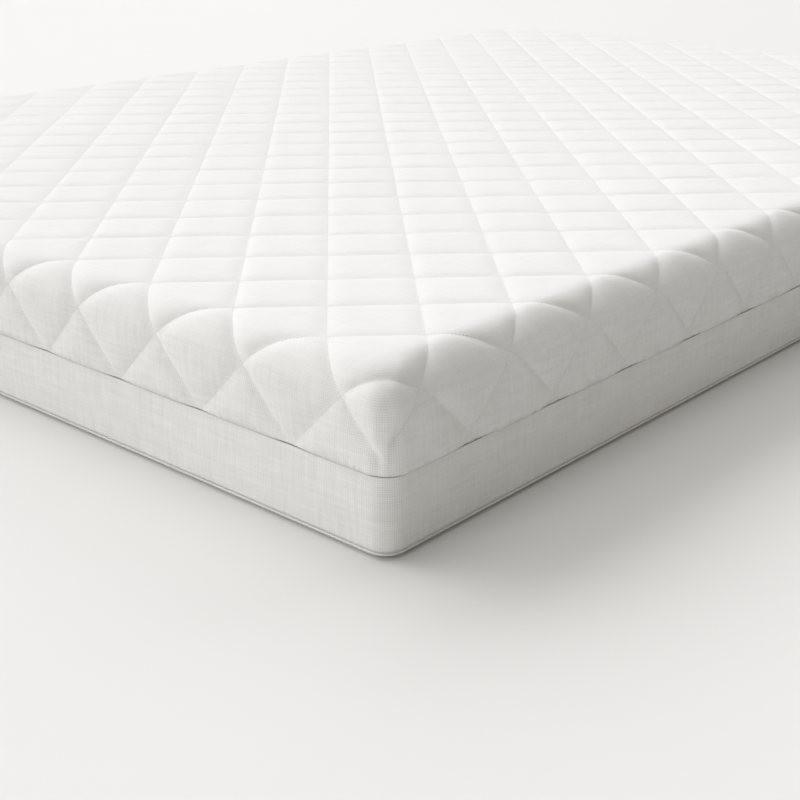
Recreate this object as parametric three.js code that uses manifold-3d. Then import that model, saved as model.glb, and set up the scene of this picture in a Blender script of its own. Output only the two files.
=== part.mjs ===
// Memory foam mattress with a two-part zip-off cover.
// Millimetres, +Z up. The origin is on the floor, under the middle of the mattress.
// X is the width, Y the length; the zip's slider runs along the head side, +Y.
import * as THREE from "three";
import { mergeVertices } from "three/addons/utils/BufferGeometryUtils.js";
import Module from "manifold-3d";

const wasm = await Module();
wasm.setup();

// ---- Driving dimensions -------------------------------------------------

const WIDTH = 1400;
const LENGTH = 2000;
const HEIGHT = 160; // floor to sleeping face
const CORNER_RADIUS = 20; // upright corners, seen from above
const CORNER_SOFTENING = 0.4; // how much rounder the corners get as the top edge rolls in
const TOP_EDGE_RADIUS = 34; // roll of the cover over the top edge
const BOTTOM_EDGE_RADIUS = 5;
const GAP = 0.3; // between pieces that touch

// Layers of the cover, from the outside in.
const TICKING = 1.5;
const WADDING = 7;
const BACKING = 1;
const BOTTOM_CLOTH = 1.2;
const SLEEVE = 1;

// Foam core, from the top down; the support block takes what is left.
const MEMORY_FOAM = 45;
const TRANSITION_FOAM = 25;
const ADHESIVE = 0.4;
const ADHESIVE_SETBACK = 12; // glue stops short of the foam's edge
const SLEEVE_SLIT = { length: 900, width: 8 };

// Concealed zip: two hems face each other across a slit, the coils lie behind it.
const ZIP_HEIGHT = 74; // floor to the middle of the slit
const HEM_SLIT = 2;
const TAPE = { thickness: 0.8, width: 16, setback: 0.4 };
const COIL = { thickness: 2.4, height: 3 };
const ZIP_END_FROM_SIDE = 110; // closed slider's middle, from the mattress side at -X
const STOP_LENGTH = 4.6;
const RETAINER = { length: 10, depth: 3.6, wall: 1.2, floor: 2.4, fromStop: 34 };
const PIN_CLEARANCE = 0.4;

// Slider of the zip: plate behind the coils, neck through the slit, lug outside.
const SLIDER = { length: 14, plate: 1.2, lip: 0.9, lipDepth: 2.2, neckLength: 7 };
const LUG = { length: 12, width: 7.2, thickness: 1 };
const BRIDGE = { span: 8, leg: 1.8, height: 3.7, roof: 1.3, width: 1.6, corner: 1.2 };
const PULL = { length: 34, width: 9, eyeWidth: 6, eyeLength: 5.4, bar: 1.2, arm: 1.7 };

// Trim on the lower border.
const BINDING = { height: 1.8, above: 4.5, proud: 0.5 };
const END_PATCH = { margin: 3, height: 34, thickness: 0.8 };
const LABEL = { length: 60, height: 40, thickness: 0.6, above: 10, fromMiddle: 500 };

const CORNER_STEPS = 3; // arc smoothness: twice this many chords in a quarter turn
const EDGE_STEPS = 5;
const LEAST_CORNER = 2; // on the layers deepest inside

// ---- Sizes that follow from them ----------------------------------------

const sum = (...values) => values.reduce((total, value) => total + value, 0);

// Depths are measured inwards from the outer face of the cover.
const WADDING_DEPTH = TICKING + GAP;
const BACKING_DEPTH = WADDING_DEPTH + WADDING + GAP;
const SLEEVE_DEPTH = BACKING_DEPTH + BACKING + GAP;
const CORE_DEPTH = SLEEVE_DEPTH + SLEEVE + GAP;

const SLEEVE_BOTTOM = BOTTOM_CLOTH + GAP;
const CORE_BOTTOM = SLEEVE_BOTTOM + SLEEVE + GAP;
const CORE_TOP = HEIGHT - CORE_DEPTH;

const TAPE_DEPTH = TICKING + GAP;
const COIL_DEPTH = TAPE_DEPTH + TAPE.thickness + GAP;
const COIL_BACK = COIL_DEPTH + COIL.thickness;
const PLATE_DEPTH = COIL_BACK + GAP;
const PLATE_BACK = PLATE_DEPTH + SLIDER.plate;

const HEM_LOW = ZIP_HEIGHT - HEM_SLIT / 2; // upper edge of the lower cover
const HEM_HIGH = ZIP_HEIGHT + HEM_SLIT / 2; // lower edge of the upper cover
const PLATE_HALF = sum(HEM_SLIT / 2, COIL.height, GAP, SLIDER.lip);
const CHANNEL_LOW = ZIP_HEIGHT - PLATE_HALF - GAP;
const CHANNEL_HIGH = ZIP_HEIGHT + PLATE_HALF + GAP;
const TAPE_LOW = { low: HEM_LOW - TAPE.setback - TAPE.width, high: HEM_LOW - TAPE.setback };
const TAPE_HIGH = { low: HEM_HIGH + TAPE.setback, high: HEM_HIGH + TAPE.setback + TAPE.width };

const SLIDER_X = -WIDTH / 2 + ZIP_END_FROM_SIDE;
const COIL_END_X = SLIDER_X - SLIDER.length / 2 - 2 * GAP;
const STOP_X = { high: COIL_END_X - GAP, low: COIL_END_X - GAP - STOP_LENGTH };
const RETAINER_X = {
  high: STOP_X.low - RETAINER.fromStop,
  low: STOP_X.low - RETAINER.fromStop - RETAINER.length,
};
const COIL_START_X = RETAINER_X.low - GAP;
const PULL_AXIS_DEPTH = -(GAP + LUG.thickness + (BRIDGE.height - BRIDGE.roof) / 2);

// ---- Solids -------------------------------------------------------------

// A closed geometry as a solid that booleans work on.
function solid(geometry) {
  const bare = new THREE.BufferGeometry();
  const source = geometry.index ? geometry.toNonIndexed() : geometry;
  bare.setAttribute("position", source.getAttribute("position"));
  const merged = mergeVertices(bare, 1e-4);
  return new wasm.Manifold(
    new wasm.Mesh({
      numProp: 3,
      vertProperties: merged.attributes.position.array,
      triVerts: new Uint32Array(merged.index.array),
    }),
  );
}

function geometryOf(manifold) {
  const made = manifold.getMesh();
  const geometry = new THREE.BufferGeometry();
  geometry.setAttribute("position", new THREE.BufferAttribute(made.vertProperties, 3));
  geometry.setIndex(new THREE.BufferAttribute(made.triVerts, 1));
  geometry.computeVertexNormals();
  return geometry;
}

function box(x, y, z) {
  const geometry = new THREE.BoxGeometry(x[1] - x[0], y[1] - y[0], z[1] - z[0]);
  geometry.translate((x[0] + x[1]) / 2, (y[0] + y[1]) / 2, (z[0] + z[1]) / 2);
  return solid(geometry);
}

// A box at the head side, placed by its depth behind the cover's outer face.
function headBox(x, depth, z) {
  return box(x, [LENGTH / 2 - depth[1], LENGTH / 2 - depth[0]], z);
}

function roundedRectangle(halfX, halfY, radius) {
  const shape = new THREE.Shape();
  const cornerX = halfX - radius;
  const cornerY = halfY - radius;
  shape.absarc(cornerX, cornerY, radius, 0, Math.PI / 2);
  shape.absarc(-cornerX, cornerY, radius, Math.PI / 2, Math.PI);
  shape.absarc(-cornerX, -cornerY, radius, Math.PI, 1.5 * Math.PI);
  shape.absarc(cornerX, -cornerY, radius, 1.5 * Math.PI, 2 * Math.PI);
  shape.closePath();
  return shape;
}

const cornerRadius = (depth) => Math.max(CORNER_RADIUS - depth, LEAST_CORNER);

// The mattress seen from above, at a depth inside the cover.
function plan(depth) {
  return roundedRectangle(WIDTH / 2 - depth, LENGTH / 2 - depth, cornerRadius(depth));
}

function slab(depth, low, high) {
  const geometry = new THREE.ExtrudeGeometry(plan(depth), {
    depth: high - low,
    bevelEnabled: false,
    curveSegments: CORNER_STEPS,
  });
  return solid(geometry.translate(0, 0, low));
}

// A slab with both its edges rounded, which the cut below uses one end of.
function roundedSlab(depth, low, high, radius) {
  const roll = Math.min(radius, CORNER_RADIUS - depth - 1);
  const geometry = new THREE.ExtrudeGeometry(plan(depth), {
    depth: high - low - 2 * roll,
    bevelEnabled: true,
    bevelThickness: roll,
    bevelSize: roll,
    bevelOffset: -roll,
    bevelSegments: EDGE_STEPS,
    curveSegments: CORNER_STEPS,
  });
  return solid(geometry.translate(0, 0, low + roll));
}

// The mattress's form at a depth, from `low` up over its rolled top edge. It bulges
// everywhere, so it is the hull of its level outlines.
function topForm(depth, low) {
  const roll = TOP_EDGE_RADIUS - depth;
  const outline = (inset, z) => {
    const radius = cornerRadius(depth) + CORNER_SOFTENING * inset;
    const flat = roundedRectangle(WIDTH / 2 - depth - inset, LENGTH / 2 - depth - inset, radius);
    return flat.extractPoints(CORNER_STEPS).shape.map(({ x, y }) => [x, y, z]);
  };
  const points = outline(0, low);
  for (let step = 0; step <= 2 * EDGE_STEPS; step += 1) {
    const turn = (Math.PI / 2) * (step / (2 * EDGE_STEPS));
    points.push(...outline(roll * (1 - Math.cos(turn)), HEIGHT - depth - roll * (1 - Math.sin(turn))));
  }
  return wasm.Manifold.hull(points);
}

// The mattress's form at a depth, true at its bottom edge and cut off flat at `high`.
function bottomForm(depth, high) {
  const radius = BOTTOM_EDGE_RADIUS - depth;
  const above = high + 2 * BOTTOM_EDGE_RADIUS;
  return keepBelow(roundedSlab(depth, depth, above, radius), high);
}

const FAR = 2 * Math.max(WIDTH, LENGTH, HEIGHT);
const keepAbove = (piece, z) => piece.subtract(box([-FAR, FAR], [-FAR, FAR], [z - FAR, z]));
const keepBelow = (piece, z) => piece.subtract(box([-FAR, FAR], [-FAR, FAR], [z, z + FAR]));

// A band of constant section round the mattress.
function band(depth, thickness, low, high) {
  const cutter = slab(depth + thickness, low - GAP, high + GAP);
  return slab(depth, low, high).subtract(cutter);
}

// ---- Foam core and its sleeve -------------------------------------------

function foamLevels() {
  const memoryLow = CORE_TOP - MEMORY_FOAM;
  const transitionHigh = memoryLow - ADHESIVE - 2 * GAP;
  const transitionLow = transitionHigh - TRANSITION_FOAM;
  return { memoryLow, transitionHigh, transitionLow, supportHigh: transitionLow - ADHESIVE - 2 * GAP };
}

function memoryFoam() {
  return topForm(CORE_DEPTH, foamLevels().memoryLow);
}

function transitionFoam() {
  const levels = foamLevels();
  return slab(CORE_DEPTH, levels.transitionLow, levels.transitionHigh);
}

function supportFoam() {
  return slab(CORE_DEPTH, CORE_BOTTOM, foamLevels().supportHigh);
}

function adhesiveUnder(foamLow) {
  return slab(CORE_DEPTH + ADHESIVE_SETBACK, foamLow - GAP - ADHESIVE, foamLow - GAP);
}

// The liner is open where the core was put in: a slit across its underside.
function innerSleeve() {
  const hollow = topForm(SLEEVE_DEPTH + SLEEVE, SLEEVE_BOTTOM + SLEEVE);
  const halfLength = SLEEVE_SLIT.length / 2;
  const halfWidth = SLEEVE_SLIT.width / 2;
  const slit = box(
    [-halfLength, halfLength],
    [-halfWidth, halfWidth],
    [SLEEVE_BOTTOM - SLEEVE, SLEEVE_BOTTOM + 2 * SLEEVE],
  );
  return topForm(SLEEVE_DEPTH, SLEEVE_BOTTOM).subtract(hollow).subtract(slit);
}

// ---- Top cover ----------------------------------------------------------

function coverShell(depth, thickness, low) {
  const hollow = topForm(depth + thickness, low - GAP);
  return topForm(depth, low).subtract(hollow);
}

function topWadding() {
  const tapeRoom = band(0, COIL_DEPTH, CHANNEL_HIGH - GAP, TAPE_HIGH.high + GAP);
  return coverShell(WADDING_DEPTH, WADDING, CHANNEL_HIGH).subtract(tapeRoom);
}

// ---- Lower cover --------------------------------------------------------

function bottomPanel() {
  const seamLow = BINDING.above - BINDING.height / 2 - GAP;
  const inside = bottomForm(BOTTOM_CLOTH, seamLow + GAP);
  return bottomForm(0, seamLow).subtract(inside);
}

function bottomBinding() {
  const low = BINDING.above - BINDING.height / 2;
  const high = BINDING.above + BINDING.height / 2;
  const inside = bottomForm(TICKING, high + GAP);
  return keepAbove(bottomForm(-BINDING.proud, high), low).subtract(inside);
}

function lowerBorder() {
  const seamHigh = BINDING.above + BINDING.height / 2 + GAP;
  const inside = bottomForm(TICKING, HEM_LOW + GAP);
  return keepAbove(bottomForm(0, HEM_LOW), seamHigh).subtract(inside);
}

function borderPadding() {
  const inside = slab(SLEEVE_DEPTH - GAP, -GAP, CHANNEL_LOW + GAP);
  const tapeRoom = band(0, COIL_DEPTH, TAPE_LOW.low - GAP, CHANNEL_LOW + GAP);
  return bottomForm(WADDING_DEPTH, CHANNEL_LOW).subtract(inside).subtract(tapeRoom);
}

// A patch on the border hides the stretch where the zip's two ends meet.
function zipEndPatch() {
  const x = [RETAINER_X.low - END_PATCH.margin, STOP_X.high];
  const z = [ZIP_HEIGHT - END_PATCH.height / 2, ZIP_HEIGHT + END_PATCH.height / 2];
  return headBox(x, [-GAP - END_PATCH.thickness, -GAP], z);
}

function careLabel() {
  const x = [LABEL.fromMiddle - LABEL.length / 2, LABEL.fromMiddle + LABEL.length / 2];
  const z = [LABEL.above, LABEL.above + LABEL.height];
  return headBox(x, [-GAP - LABEL.thickness, -GAP], z);
}

// ---- Zip ----------------------------------------------------------------

// A row of teeth as one plain bar all round, open where the zip starts and ends.
function coil(low, high) {
  const opening = headBox([COIL_START_X, COIL_END_X], [0, 2 * COIL_BACK], [low - GAP, high + GAP]);
  return band(COIL_DEPTH, COIL.thickness, low, high).subtract(opening);
}

function endStop(low, high) {
  return headBox([STOP_X.low, STOP_X.high], [COIL_DEPTH, COIL_BACK + GAP], [low, high]);
}

const RETAINER_LOW = CHANNEL_LOW + GAP;

// A box open at its top, which the pin of the upper zip half stands in.
function retainerBox() {
  const { low, high } = RETAINER_X;
  const depth = [COIL_DEPTH, COIL_DEPTH + RETAINER.depth];
  const top = HEM_HIGH + COIL.height;
  const pocket = headBox(
    [low + RETAINER.wall, high - RETAINER.wall],
    [depth[0] + RETAINER.wall, depth[1] - RETAINER.wall / 2],
    [RETAINER_LOW + RETAINER.floor, top + GAP],
  );
  return headBox([low, high], depth, [RETAINER_LOW, top]).subtract(pocket);
}

function insertionPin() {
  const x = [
    RETAINER_X.low + RETAINER.wall + PIN_CLEARANCE,
    RETAINER_X.high - RETAINER.wall - PIN_CLEARANCE,
  ];
  const tongueDepth = [
    COIL_DEPTH + RETAINER.wall + PIN_CLEARANCE,
    COIL_DEPTH + RETAINER.depth - RETAINER.wall / 2 - PIN_CLEARANCE,
  ];
  const shoulder = HEM_HIGH + COIL.height + PIN_CLEARANCE;
  const low = RETAINER_LOW + RETAINER.floor + PIN_CLEARANCE;
  const high = CHANNEL_HIGH - GAP;
  const head = headBox(x, [COIL_DEPTH, tongueDepth[1]], [shoulder, high]);
  return headBox(x, tongueDepth, [low, high]).add(head);
}

// The bridge is an arch over the lug; the pull's bar lies under it.
function sliderBridge() {
  const { span, leg, height, roof, width, corner } = BRIDGE;
  const foot = GAP + LUG.thickness / 2;
  const top = GAP + LUG.thickness + height;
  const arch = new THREE.Shape();
  arch.moveTo(-span / 2, foot);
  arch.lineTo(-span / 2, top - corner);
  arch.absarc(-span / 2 + corner, top - corner, corner, Math.PI, Math.PI / 2, true);
  arch.absarc(span / 2 - corner, top - corner, corner, Math.PI / 2, 0, true);
  arch.lineTo(span / 2, foot);
  arch.lineTo(span / 2 - leg, foot);
  arch.lineTo(span / 2 - leg, top - roof);
  arch.lineTo(-span / 2 + leg, top - roof);
  arch.lineTo(-span / 2 + leg, foot);
  arch.closePath();
  const geometry = new THREE.ExtrudeGeometry(arch, {
    depth: width,
    bevelEnabled: false,
    curveSegments: CORNER_STEPS,
  });
  return solid(geometry.translate(SLIDER_X, LENGTH / 2, ZIP_HEIGHT - width / 2));
}

function zipSlider() {
  const half = SLIDER.length / 2;
  const neckHalf = HEM_SLIT / 2 - GAP;
  const around = (reach) => [SLIDER_X - reach, SLIDER_X + reach];
  const level = (reach) => [ZIP_HEIGHT - reach, ZIP_HEIGHT + reach];
  const plate = headBox(around(half), [PLATE_DEPTH, PLATE_BACK], level(PLATE_HALF));
  const lip = headBox(
    around(half),
    [PLATE_DEPTH - SLIDER.lipDepth, PLATE_BACK],
    [ZIP_HEIGHT - PLATE_HALF, ZIP_HEIGHT - PLATE_HALF + SLIDER.lip],
  );
  const neckDepth = [-GAP - LUG.thickness / 2, PLATE_BACK - SLIDER.plate / 2];
  const neck = headBox(around(SLIDER.neckLength / 2), neckDepth, level(neckHalf));
  const lugDepth = [-GAP - LUG.thickness, -GAP];
  const lug = headBox(around(LUG.length / 2), lugDepth, level(LUG.width / 2));
  return plate.add(lip).add(neck).add(lug).add(sliderBridge());
}

// The pull lies flat along the zip, its eye round one leg of the bridge.
function zipPull() {
  const { length, width, eyeWidth, eyeLength, bar, arm } = PULL;
  const eyeEnd = -bar / 2 - eyeLength;
  const shape = new THREE.Shape();
  shape.moveTo(bar / 2, -eyeWidth / 2);
  shape.lineTo(bar / 2, eyeWidth / 2);
  shape.lineTo(eyeEnd, eyeWidth / 2);
  shape.lineTo(eyeEnd - width / 2, width / 2);
  shape.absarc(bar / 2 - length + width / 2, 0, width / 2, Math.PI / 2, 1.5 * Math.PI);
  shape.lineTo(eyeEnd - width / 2, -width / 2);
  shape.lineTo(eyeEnd, -eyeWidth / 2);
  shape.closePath();
  const eye = new THREE.Path();
  const eyeHalf = eyeWidth / 2 - arm;
  eye.moveTo(-bar / 2, -eyeHalf);
  eye.lineTo(eyeEnd, -eyeHalf);
  eye.lineTo(eyeEnd, eyeHalf);
  eye.lineTo(-bar / 2, eyeHalf);
  eye.closePath();
  shape.holes.push(eye);
  const geometry = new THREE.ExtrudeGeometry(shape, {
    depth: bar,
    bevelEnabled: false,
    curveSegments: CORNER_STEPS,
  });
  geometry.rotateX(Math.PI / 2);
  geometry.translate(SLIDER_X, LENGTH / 2 - PULL_AXIS_DEPTH + bar / 2, ZIP_HEIGHT);
  return solid(geometry);
}

// ---- Finishes -----------------------------------------------------------

const FINISHES = {
  ticking: { color: 0xe9e7e2, roughness: 0.92, metalness: 0 },
  padding: { color: 0xf4f3ef, roughness: 0.96, metalness: 0 },
  scrim: { color: 0xefeeea, roughness: 0.95, metalness: 0 },
  sleeve: { color: 0xf2f1ee, roughness: 0.9, metalness: 0 },
  memoryFoam: { color: 0xf1ead6, roughness: 0.85, metalness: 0 },
  transitionFoam: { color: 0xdfe6ea, roughness: 0.85, metalness: 0 },
  supportFoam: { color: 0xf3f2ee, roughness: 0.88, metalness: 0 },
  adhesive: { color: 0xe8e2cf, roughness: 0.5, metalness: 0 },
  tape: { color: 0xd8d5ce, roughness: 0.8, metalness: 0 },
  teeth: { color: 0xcfccc5, roughness: 0.4, metalness: 0 },
  metal: { color: 0xb9bbbd, roughness: 0.3, metalness: 0.9 },
  label: { color: 0xf7f7f5, roughness: 0.6, metalness: 0 },
};

function node(name, made, finish) {
  const mesh = new THREE.Mesh(geometryOf(made), new THREE.MeshStandardMaterial(FINISHES[finish]));
  mesh.name = name;
  return mesh;
}

// ---- Assembly -----------------------------------------------------------

function core() {
  const levels = foamLevels();
  const group = new THREE.Group();
  group.add(node("memory_foam_slab", memoryFoam(), "memoryFoam"));
  group.add(node("upper_adhesive_layer", adhesiveUnder(levels.memoryLow), "adhesive"));
  group.add(node("transition_foam_slab", transitionFoam(), "transitionFoam"));
  group.add(node("lower_adhesive_layer", adhesiveUnder(levels.transitionLow), "adhesive"));
  group.add(node("support_foam_block", supportFoam(), "supportFoam"));
  group.add(node("inner_sleeve", innerSleeve(), "sleeve"));
  return group;
}

function topCover() {
  const group = new THREE.Group();
  const tape = band(TAPE_DEPTH, TAPE.thickness, TAPE_HIGH.low, TAPE_HIGH.high);
  group.add(node("top_quilted_ticking", coverShell(0, TICKING, HEM_HIGH), "ticking"));
  group.add(node("top_wadding", topWadding(), "padding"));
  group.add(node("top_backing_scrim", coverShell(BACKING_DEPTH, BACKING, CHANNEL_HIGH), "scrim"));
  group.add(node("upper_zip_tape", tape, "tape"));
  group.add(node("upper_zip_coil", coil(HEM_HIGH, HEM_HIGH + COIL.height), "teeth"));
  group.add(node("upper_zip_end_stop", endStop(HEM_HIGH, HEM_HIGH + COIL.height), "teeth"));
  group.add(node("zip_insertion_pin", insertionPin(), "teeth"));
  return group;
}

function lowerCover() {
  const group = new THREE.Group();
  const tape = band(TAPE_DEPTH, TAPE.thickness, TAPE_LOW.low, TAPE_LOW.high);
  group.add(node("lower_border_ticking", lowerBorder(), "ticking"));
  group.add(node("lower_border_padding", borderPadding(), "padding"));
  group.add(node("bottom_panel", bottomPanel(), "ticking"));
  group.add(node("bottom_edge_binding", bottomBinding(), "tape"));
  group.add(node("lower_zip_tape", tape, "tape"));
  group.add(node("lower_zip_coil", coil(HEM_LOW - COIL.height, HEM_LOW), "teeth"));
  group.add(node("lower_zip_end_stop", endStop(HEM_LOW - COIL.height, HEM_LOW), "teeth"));
  group.add(node("zip_retainer_box", retainerBox(), "teeth"));
  group.add(node("zip_end_patch", zipEndPatch(), "ticking"));
  group.add(node("care_label", careLabel(), "label"));
  return group;
}

const mattress = new THREE.Group();
mattress.add(core(), lowerCover(), topCover());
mattress.add(node("zip_slider_body", zipSlider(), "metal"));
mattress.add(node("zip_pull_tab", zipPull(), "metal"));

export default mattress;
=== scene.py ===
"""Looks of a memory foam mattress in a zip-off quilted cover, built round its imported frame.

Everything is in metres, in the frame's own axes: X across, Y along, Z up, the origin on the
floor under the middle. The head side, where the zip's slider runs, is +Y.
"""

import logging
import math
from dataclasses import dataclass, field, replace
from enum import Enum
from typing import Callable, Optional, Sequence

import bmesh
import bpy
import numpy as np
from mathutils import Matrix, Vector


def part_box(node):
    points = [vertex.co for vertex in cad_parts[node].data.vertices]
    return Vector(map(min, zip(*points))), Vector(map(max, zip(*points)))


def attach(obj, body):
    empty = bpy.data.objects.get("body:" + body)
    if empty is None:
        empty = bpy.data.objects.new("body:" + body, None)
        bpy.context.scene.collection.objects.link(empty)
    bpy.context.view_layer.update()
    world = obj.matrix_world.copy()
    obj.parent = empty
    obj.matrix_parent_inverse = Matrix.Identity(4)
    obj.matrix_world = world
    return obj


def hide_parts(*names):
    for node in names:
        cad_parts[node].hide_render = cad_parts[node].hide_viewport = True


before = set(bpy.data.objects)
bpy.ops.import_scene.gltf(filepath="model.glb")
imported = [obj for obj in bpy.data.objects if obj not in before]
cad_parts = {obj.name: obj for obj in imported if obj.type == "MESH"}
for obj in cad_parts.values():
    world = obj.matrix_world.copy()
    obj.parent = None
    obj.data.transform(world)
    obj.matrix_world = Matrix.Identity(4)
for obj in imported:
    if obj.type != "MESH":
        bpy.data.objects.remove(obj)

LOG = logging.getLogger("mattress")
MM = 0.001

Colour = tuple[float, float, float]
Span = tuple[float, float]


# ---- Shader graph ---------------------------------------------------------


class Value:
    """A shader socket that Python's operators work on, one Math node for each."""

    def __init__(self, shader: "Shader", socket: bpy.types.NodeSocket) -> None:
        """Wrap a socket of the shader's own tree."""
        self.shader = shader
        self.socket = socket

    def math(self, operation: str, *others: "Value | float") -> "Value":
        """Add a Math node.

        Args:
            operation: the Math node's operation.
            others: the second and third operands, if it has them.

        Returns:
            The node's result.
        """
        node = self.shader.node("ShaderNodeMath", {"operation": operation}, [self, *others])
        return Value(self.shader, node.outputs[0])

    def __add__(self, other: "Value | float") -> "Value":
        """Sum."""
        return self.math("ADD", other)

    def __sub__(self, other: "Value | float") -> "Value":
        """Difference."""
        return self.math("SUBTRACT", other)

    def __rsub__(self, other: float) -> "Value":
        """A number less this value."""
        node = self.shader.node("ShaderNodeMath", {"operation": "SUBTRACT"}, [other, self])
        return Value(self.shader, node.outputs[0])

    def __mul__(self, other: "Value | float") -> "Value":
        """Product."""
        return self.math("MULTIPLY", other)

    def __pow__(self, other: "Value | float") -> "Value":
        """Power."""
        return self.math("POWER", other)

    __radd__ = __add__
    __rmul__ = __mul__

    def sine(self) -> "Value":
        """Sine, in radians."""
        return self.math("SINE")

    def absolute(self) -> "Value":
        """Size without sign."""
        return self.math("ABSOLUTE")

    def smooth(self, low: float, high: float) -> "Value":
        """Rise smoothly from 0 at low to 1 at high."""
        settings = {"interpolation_type": "SMOOTHSTEP"}
        node = self.shader.node("ShaderNodeMapRange", settings, [self, low, high, 0.0, 1.0])
        return Value(self.shader, node.outputs[0])


class Graph:
    """A material's or the world's tree of nodes."""

    def __init__(self, tree: bpy.types.NodeTree) -> None:
        """Take the tree that nodes are added to."""
        self.tree = tree

    def node(self, kind: str, settings: dict, inputs: "Sequence | dict") -> bpy.types.Node:
        """Add a node.

        Args:
            kind: the node's type.
            settings: its own properties, set before its sockets.
            inputs: numbers, colours, sockets or Values, in order or by socket name.

        Returns:
            The node.
        """
        made = self.tree.nodes.new(kind)
        for key, setting in settings.items():
            setattr(made, key, setting)
        pairs = inputs.items() if isinstance(inputs, dict) else enumerate(inputs)
        for key, given in pairs:
            self.feed(made.inputs[key], given)
        return made

    def feed(self, socket: bpy.types.NodeSocket, given: object) -> None:
        """Link or set one input socket."""
        source = given.socket if isinstance(given, Value) else given
        if isinstance(source, bpy.types.NodeSocket):
            self.tree.links.new(source, socket)
        elif socket.type == "RGBA" and len(source) == 3:
            socket.default_value = (*source, 1.0)
        else:
            socket.default_value = source


class Shader(Graph):
    """One material and the nodes in it."""

    def __init__(self, name: str, uv: Optional[str] = None) -> None:
        """Start a material.

        Args:
            name: the material's name.
            uv: the piece's UV map that patterns follow, or None for its Object coordinates.
        """
        self.material = bpy.data.materials.new(name)
        self.material.use_nodes = True
        super().__init__(self.material.node_tree)
        self.surface = self.tree.nodes["Principled BSDF"]
        if uv:
            self.place = self.node("ShaderNodeUVMap", {"uv_map": uv}, []).outputs["UV"]
        else:
            self.place = self.node("ShaderNodeTexCoord", {}, []).outputs["Object"]

    def axes(self, turn: float = 0.0) -> tuple[Value, Value, Value]:
        """Split the pattern's coordinates.

        Args:
            turn: degrees to turn the pattern about Z first.

        Returns:
            X, Y and Z, in metres.
        """
        rotation = (0.0, 0.0, math.radians(turn))
        place = self.node("ShaderNodeMapping", {}, {"Vector": self.place, "Rotation": rotation})
        split = self.node("ShaderNodeSeparateXYZ", {}, [place.outputs[0]])
        x, y, z = (Value(self, out) for out in split.outputs)
        return x, y, z

    def noise(self, scale: float, stretch: Colour = (1.0, 1.0, 1.0), detail: float = 3.0) -> Value:
        """Fractal noise from 0 to 1.

        Args:
            scale: features per metre.
            stretch: multiplies the scale along each axis.
            detail: octaves.

        Returns:
            The noise.
        """
        place = self.node("ShaderNodeMapping", {}, {"Vector": self.place, "Scale": stretch})
        sockets = {"Vector": place.outputs[0], "Scale": scale, "Detail": detail}
        return Value(self, self.node("ShaderNodeTexNoise", {}, sockets).outputs[0])

    def cells(self, scale: float, randomness: float = 1.0) -> Value:
        """Distances in a cell pattern.

        Args:
            scale: cells per metre.
            randomness: 0 for a regular grid, 1 for none.

        Returns:
            The distance.
        """
        sockets = {"Vector": self.place, "Scale": scale, "Randomness": randomness}
        made = self.node("ShaderNodeTexVoronoi", {"feature": "F1"}, sockets)
        return Value(self, made.outputs["Distance"])

    def blend(self, share: Value, low: "Colour | Value", high: "Colour | Value") -> Value:
        """Mix two colours by a share from 0 to 1."""
        node = self.node("ShaderNodeMix", {"data_type": "RGBA"}, [])
        self.feed(node.inputs["Factor"], share)
        colour_inputs = [s for s in node.inputs if s.type == "RGBA"]
        self.feed(colour_inputs[0], low)
        self.feed(colour_inputs[1], high)
        result = next(s for s in node.outputs if s.type == "RGBA")
        return Value(self, result)

    def relief(self, height: Value, depth: float) -> None:
        """Bend the surface's normal by a height from 0 to 1 that stands `depth` metres."""
        sockets = {"Strength": 1.0, "Distance": depth, "Height": height}
        bump = self.node("ShaderNodeBump", {}, sockets)
        self.feed(self.surface.inputs["Normal"], bump.outputs[0])

    def dress(self, **sockets: object) -> None:
        """Set or link the surface's sockets, named with underscores for spaces."""
        for key, given in sockets.items():
            self.feed(self.surface.inputs[key.replace("_", " ")], given)


@dataclass(frozen=True)
class Coloured:
    """What every finish has: its name, and its colours where it stands high and lies deep."""

    name: str
    light: Colour
    dark: Colour

    def tint(self, shader: Shader, share: Value) -> None:
        """Colour a surface from dark to light by a share from 0 to 1."""
        shader.dress(Base_Color=shader.blend(share, self.dark, self.light))


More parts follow.
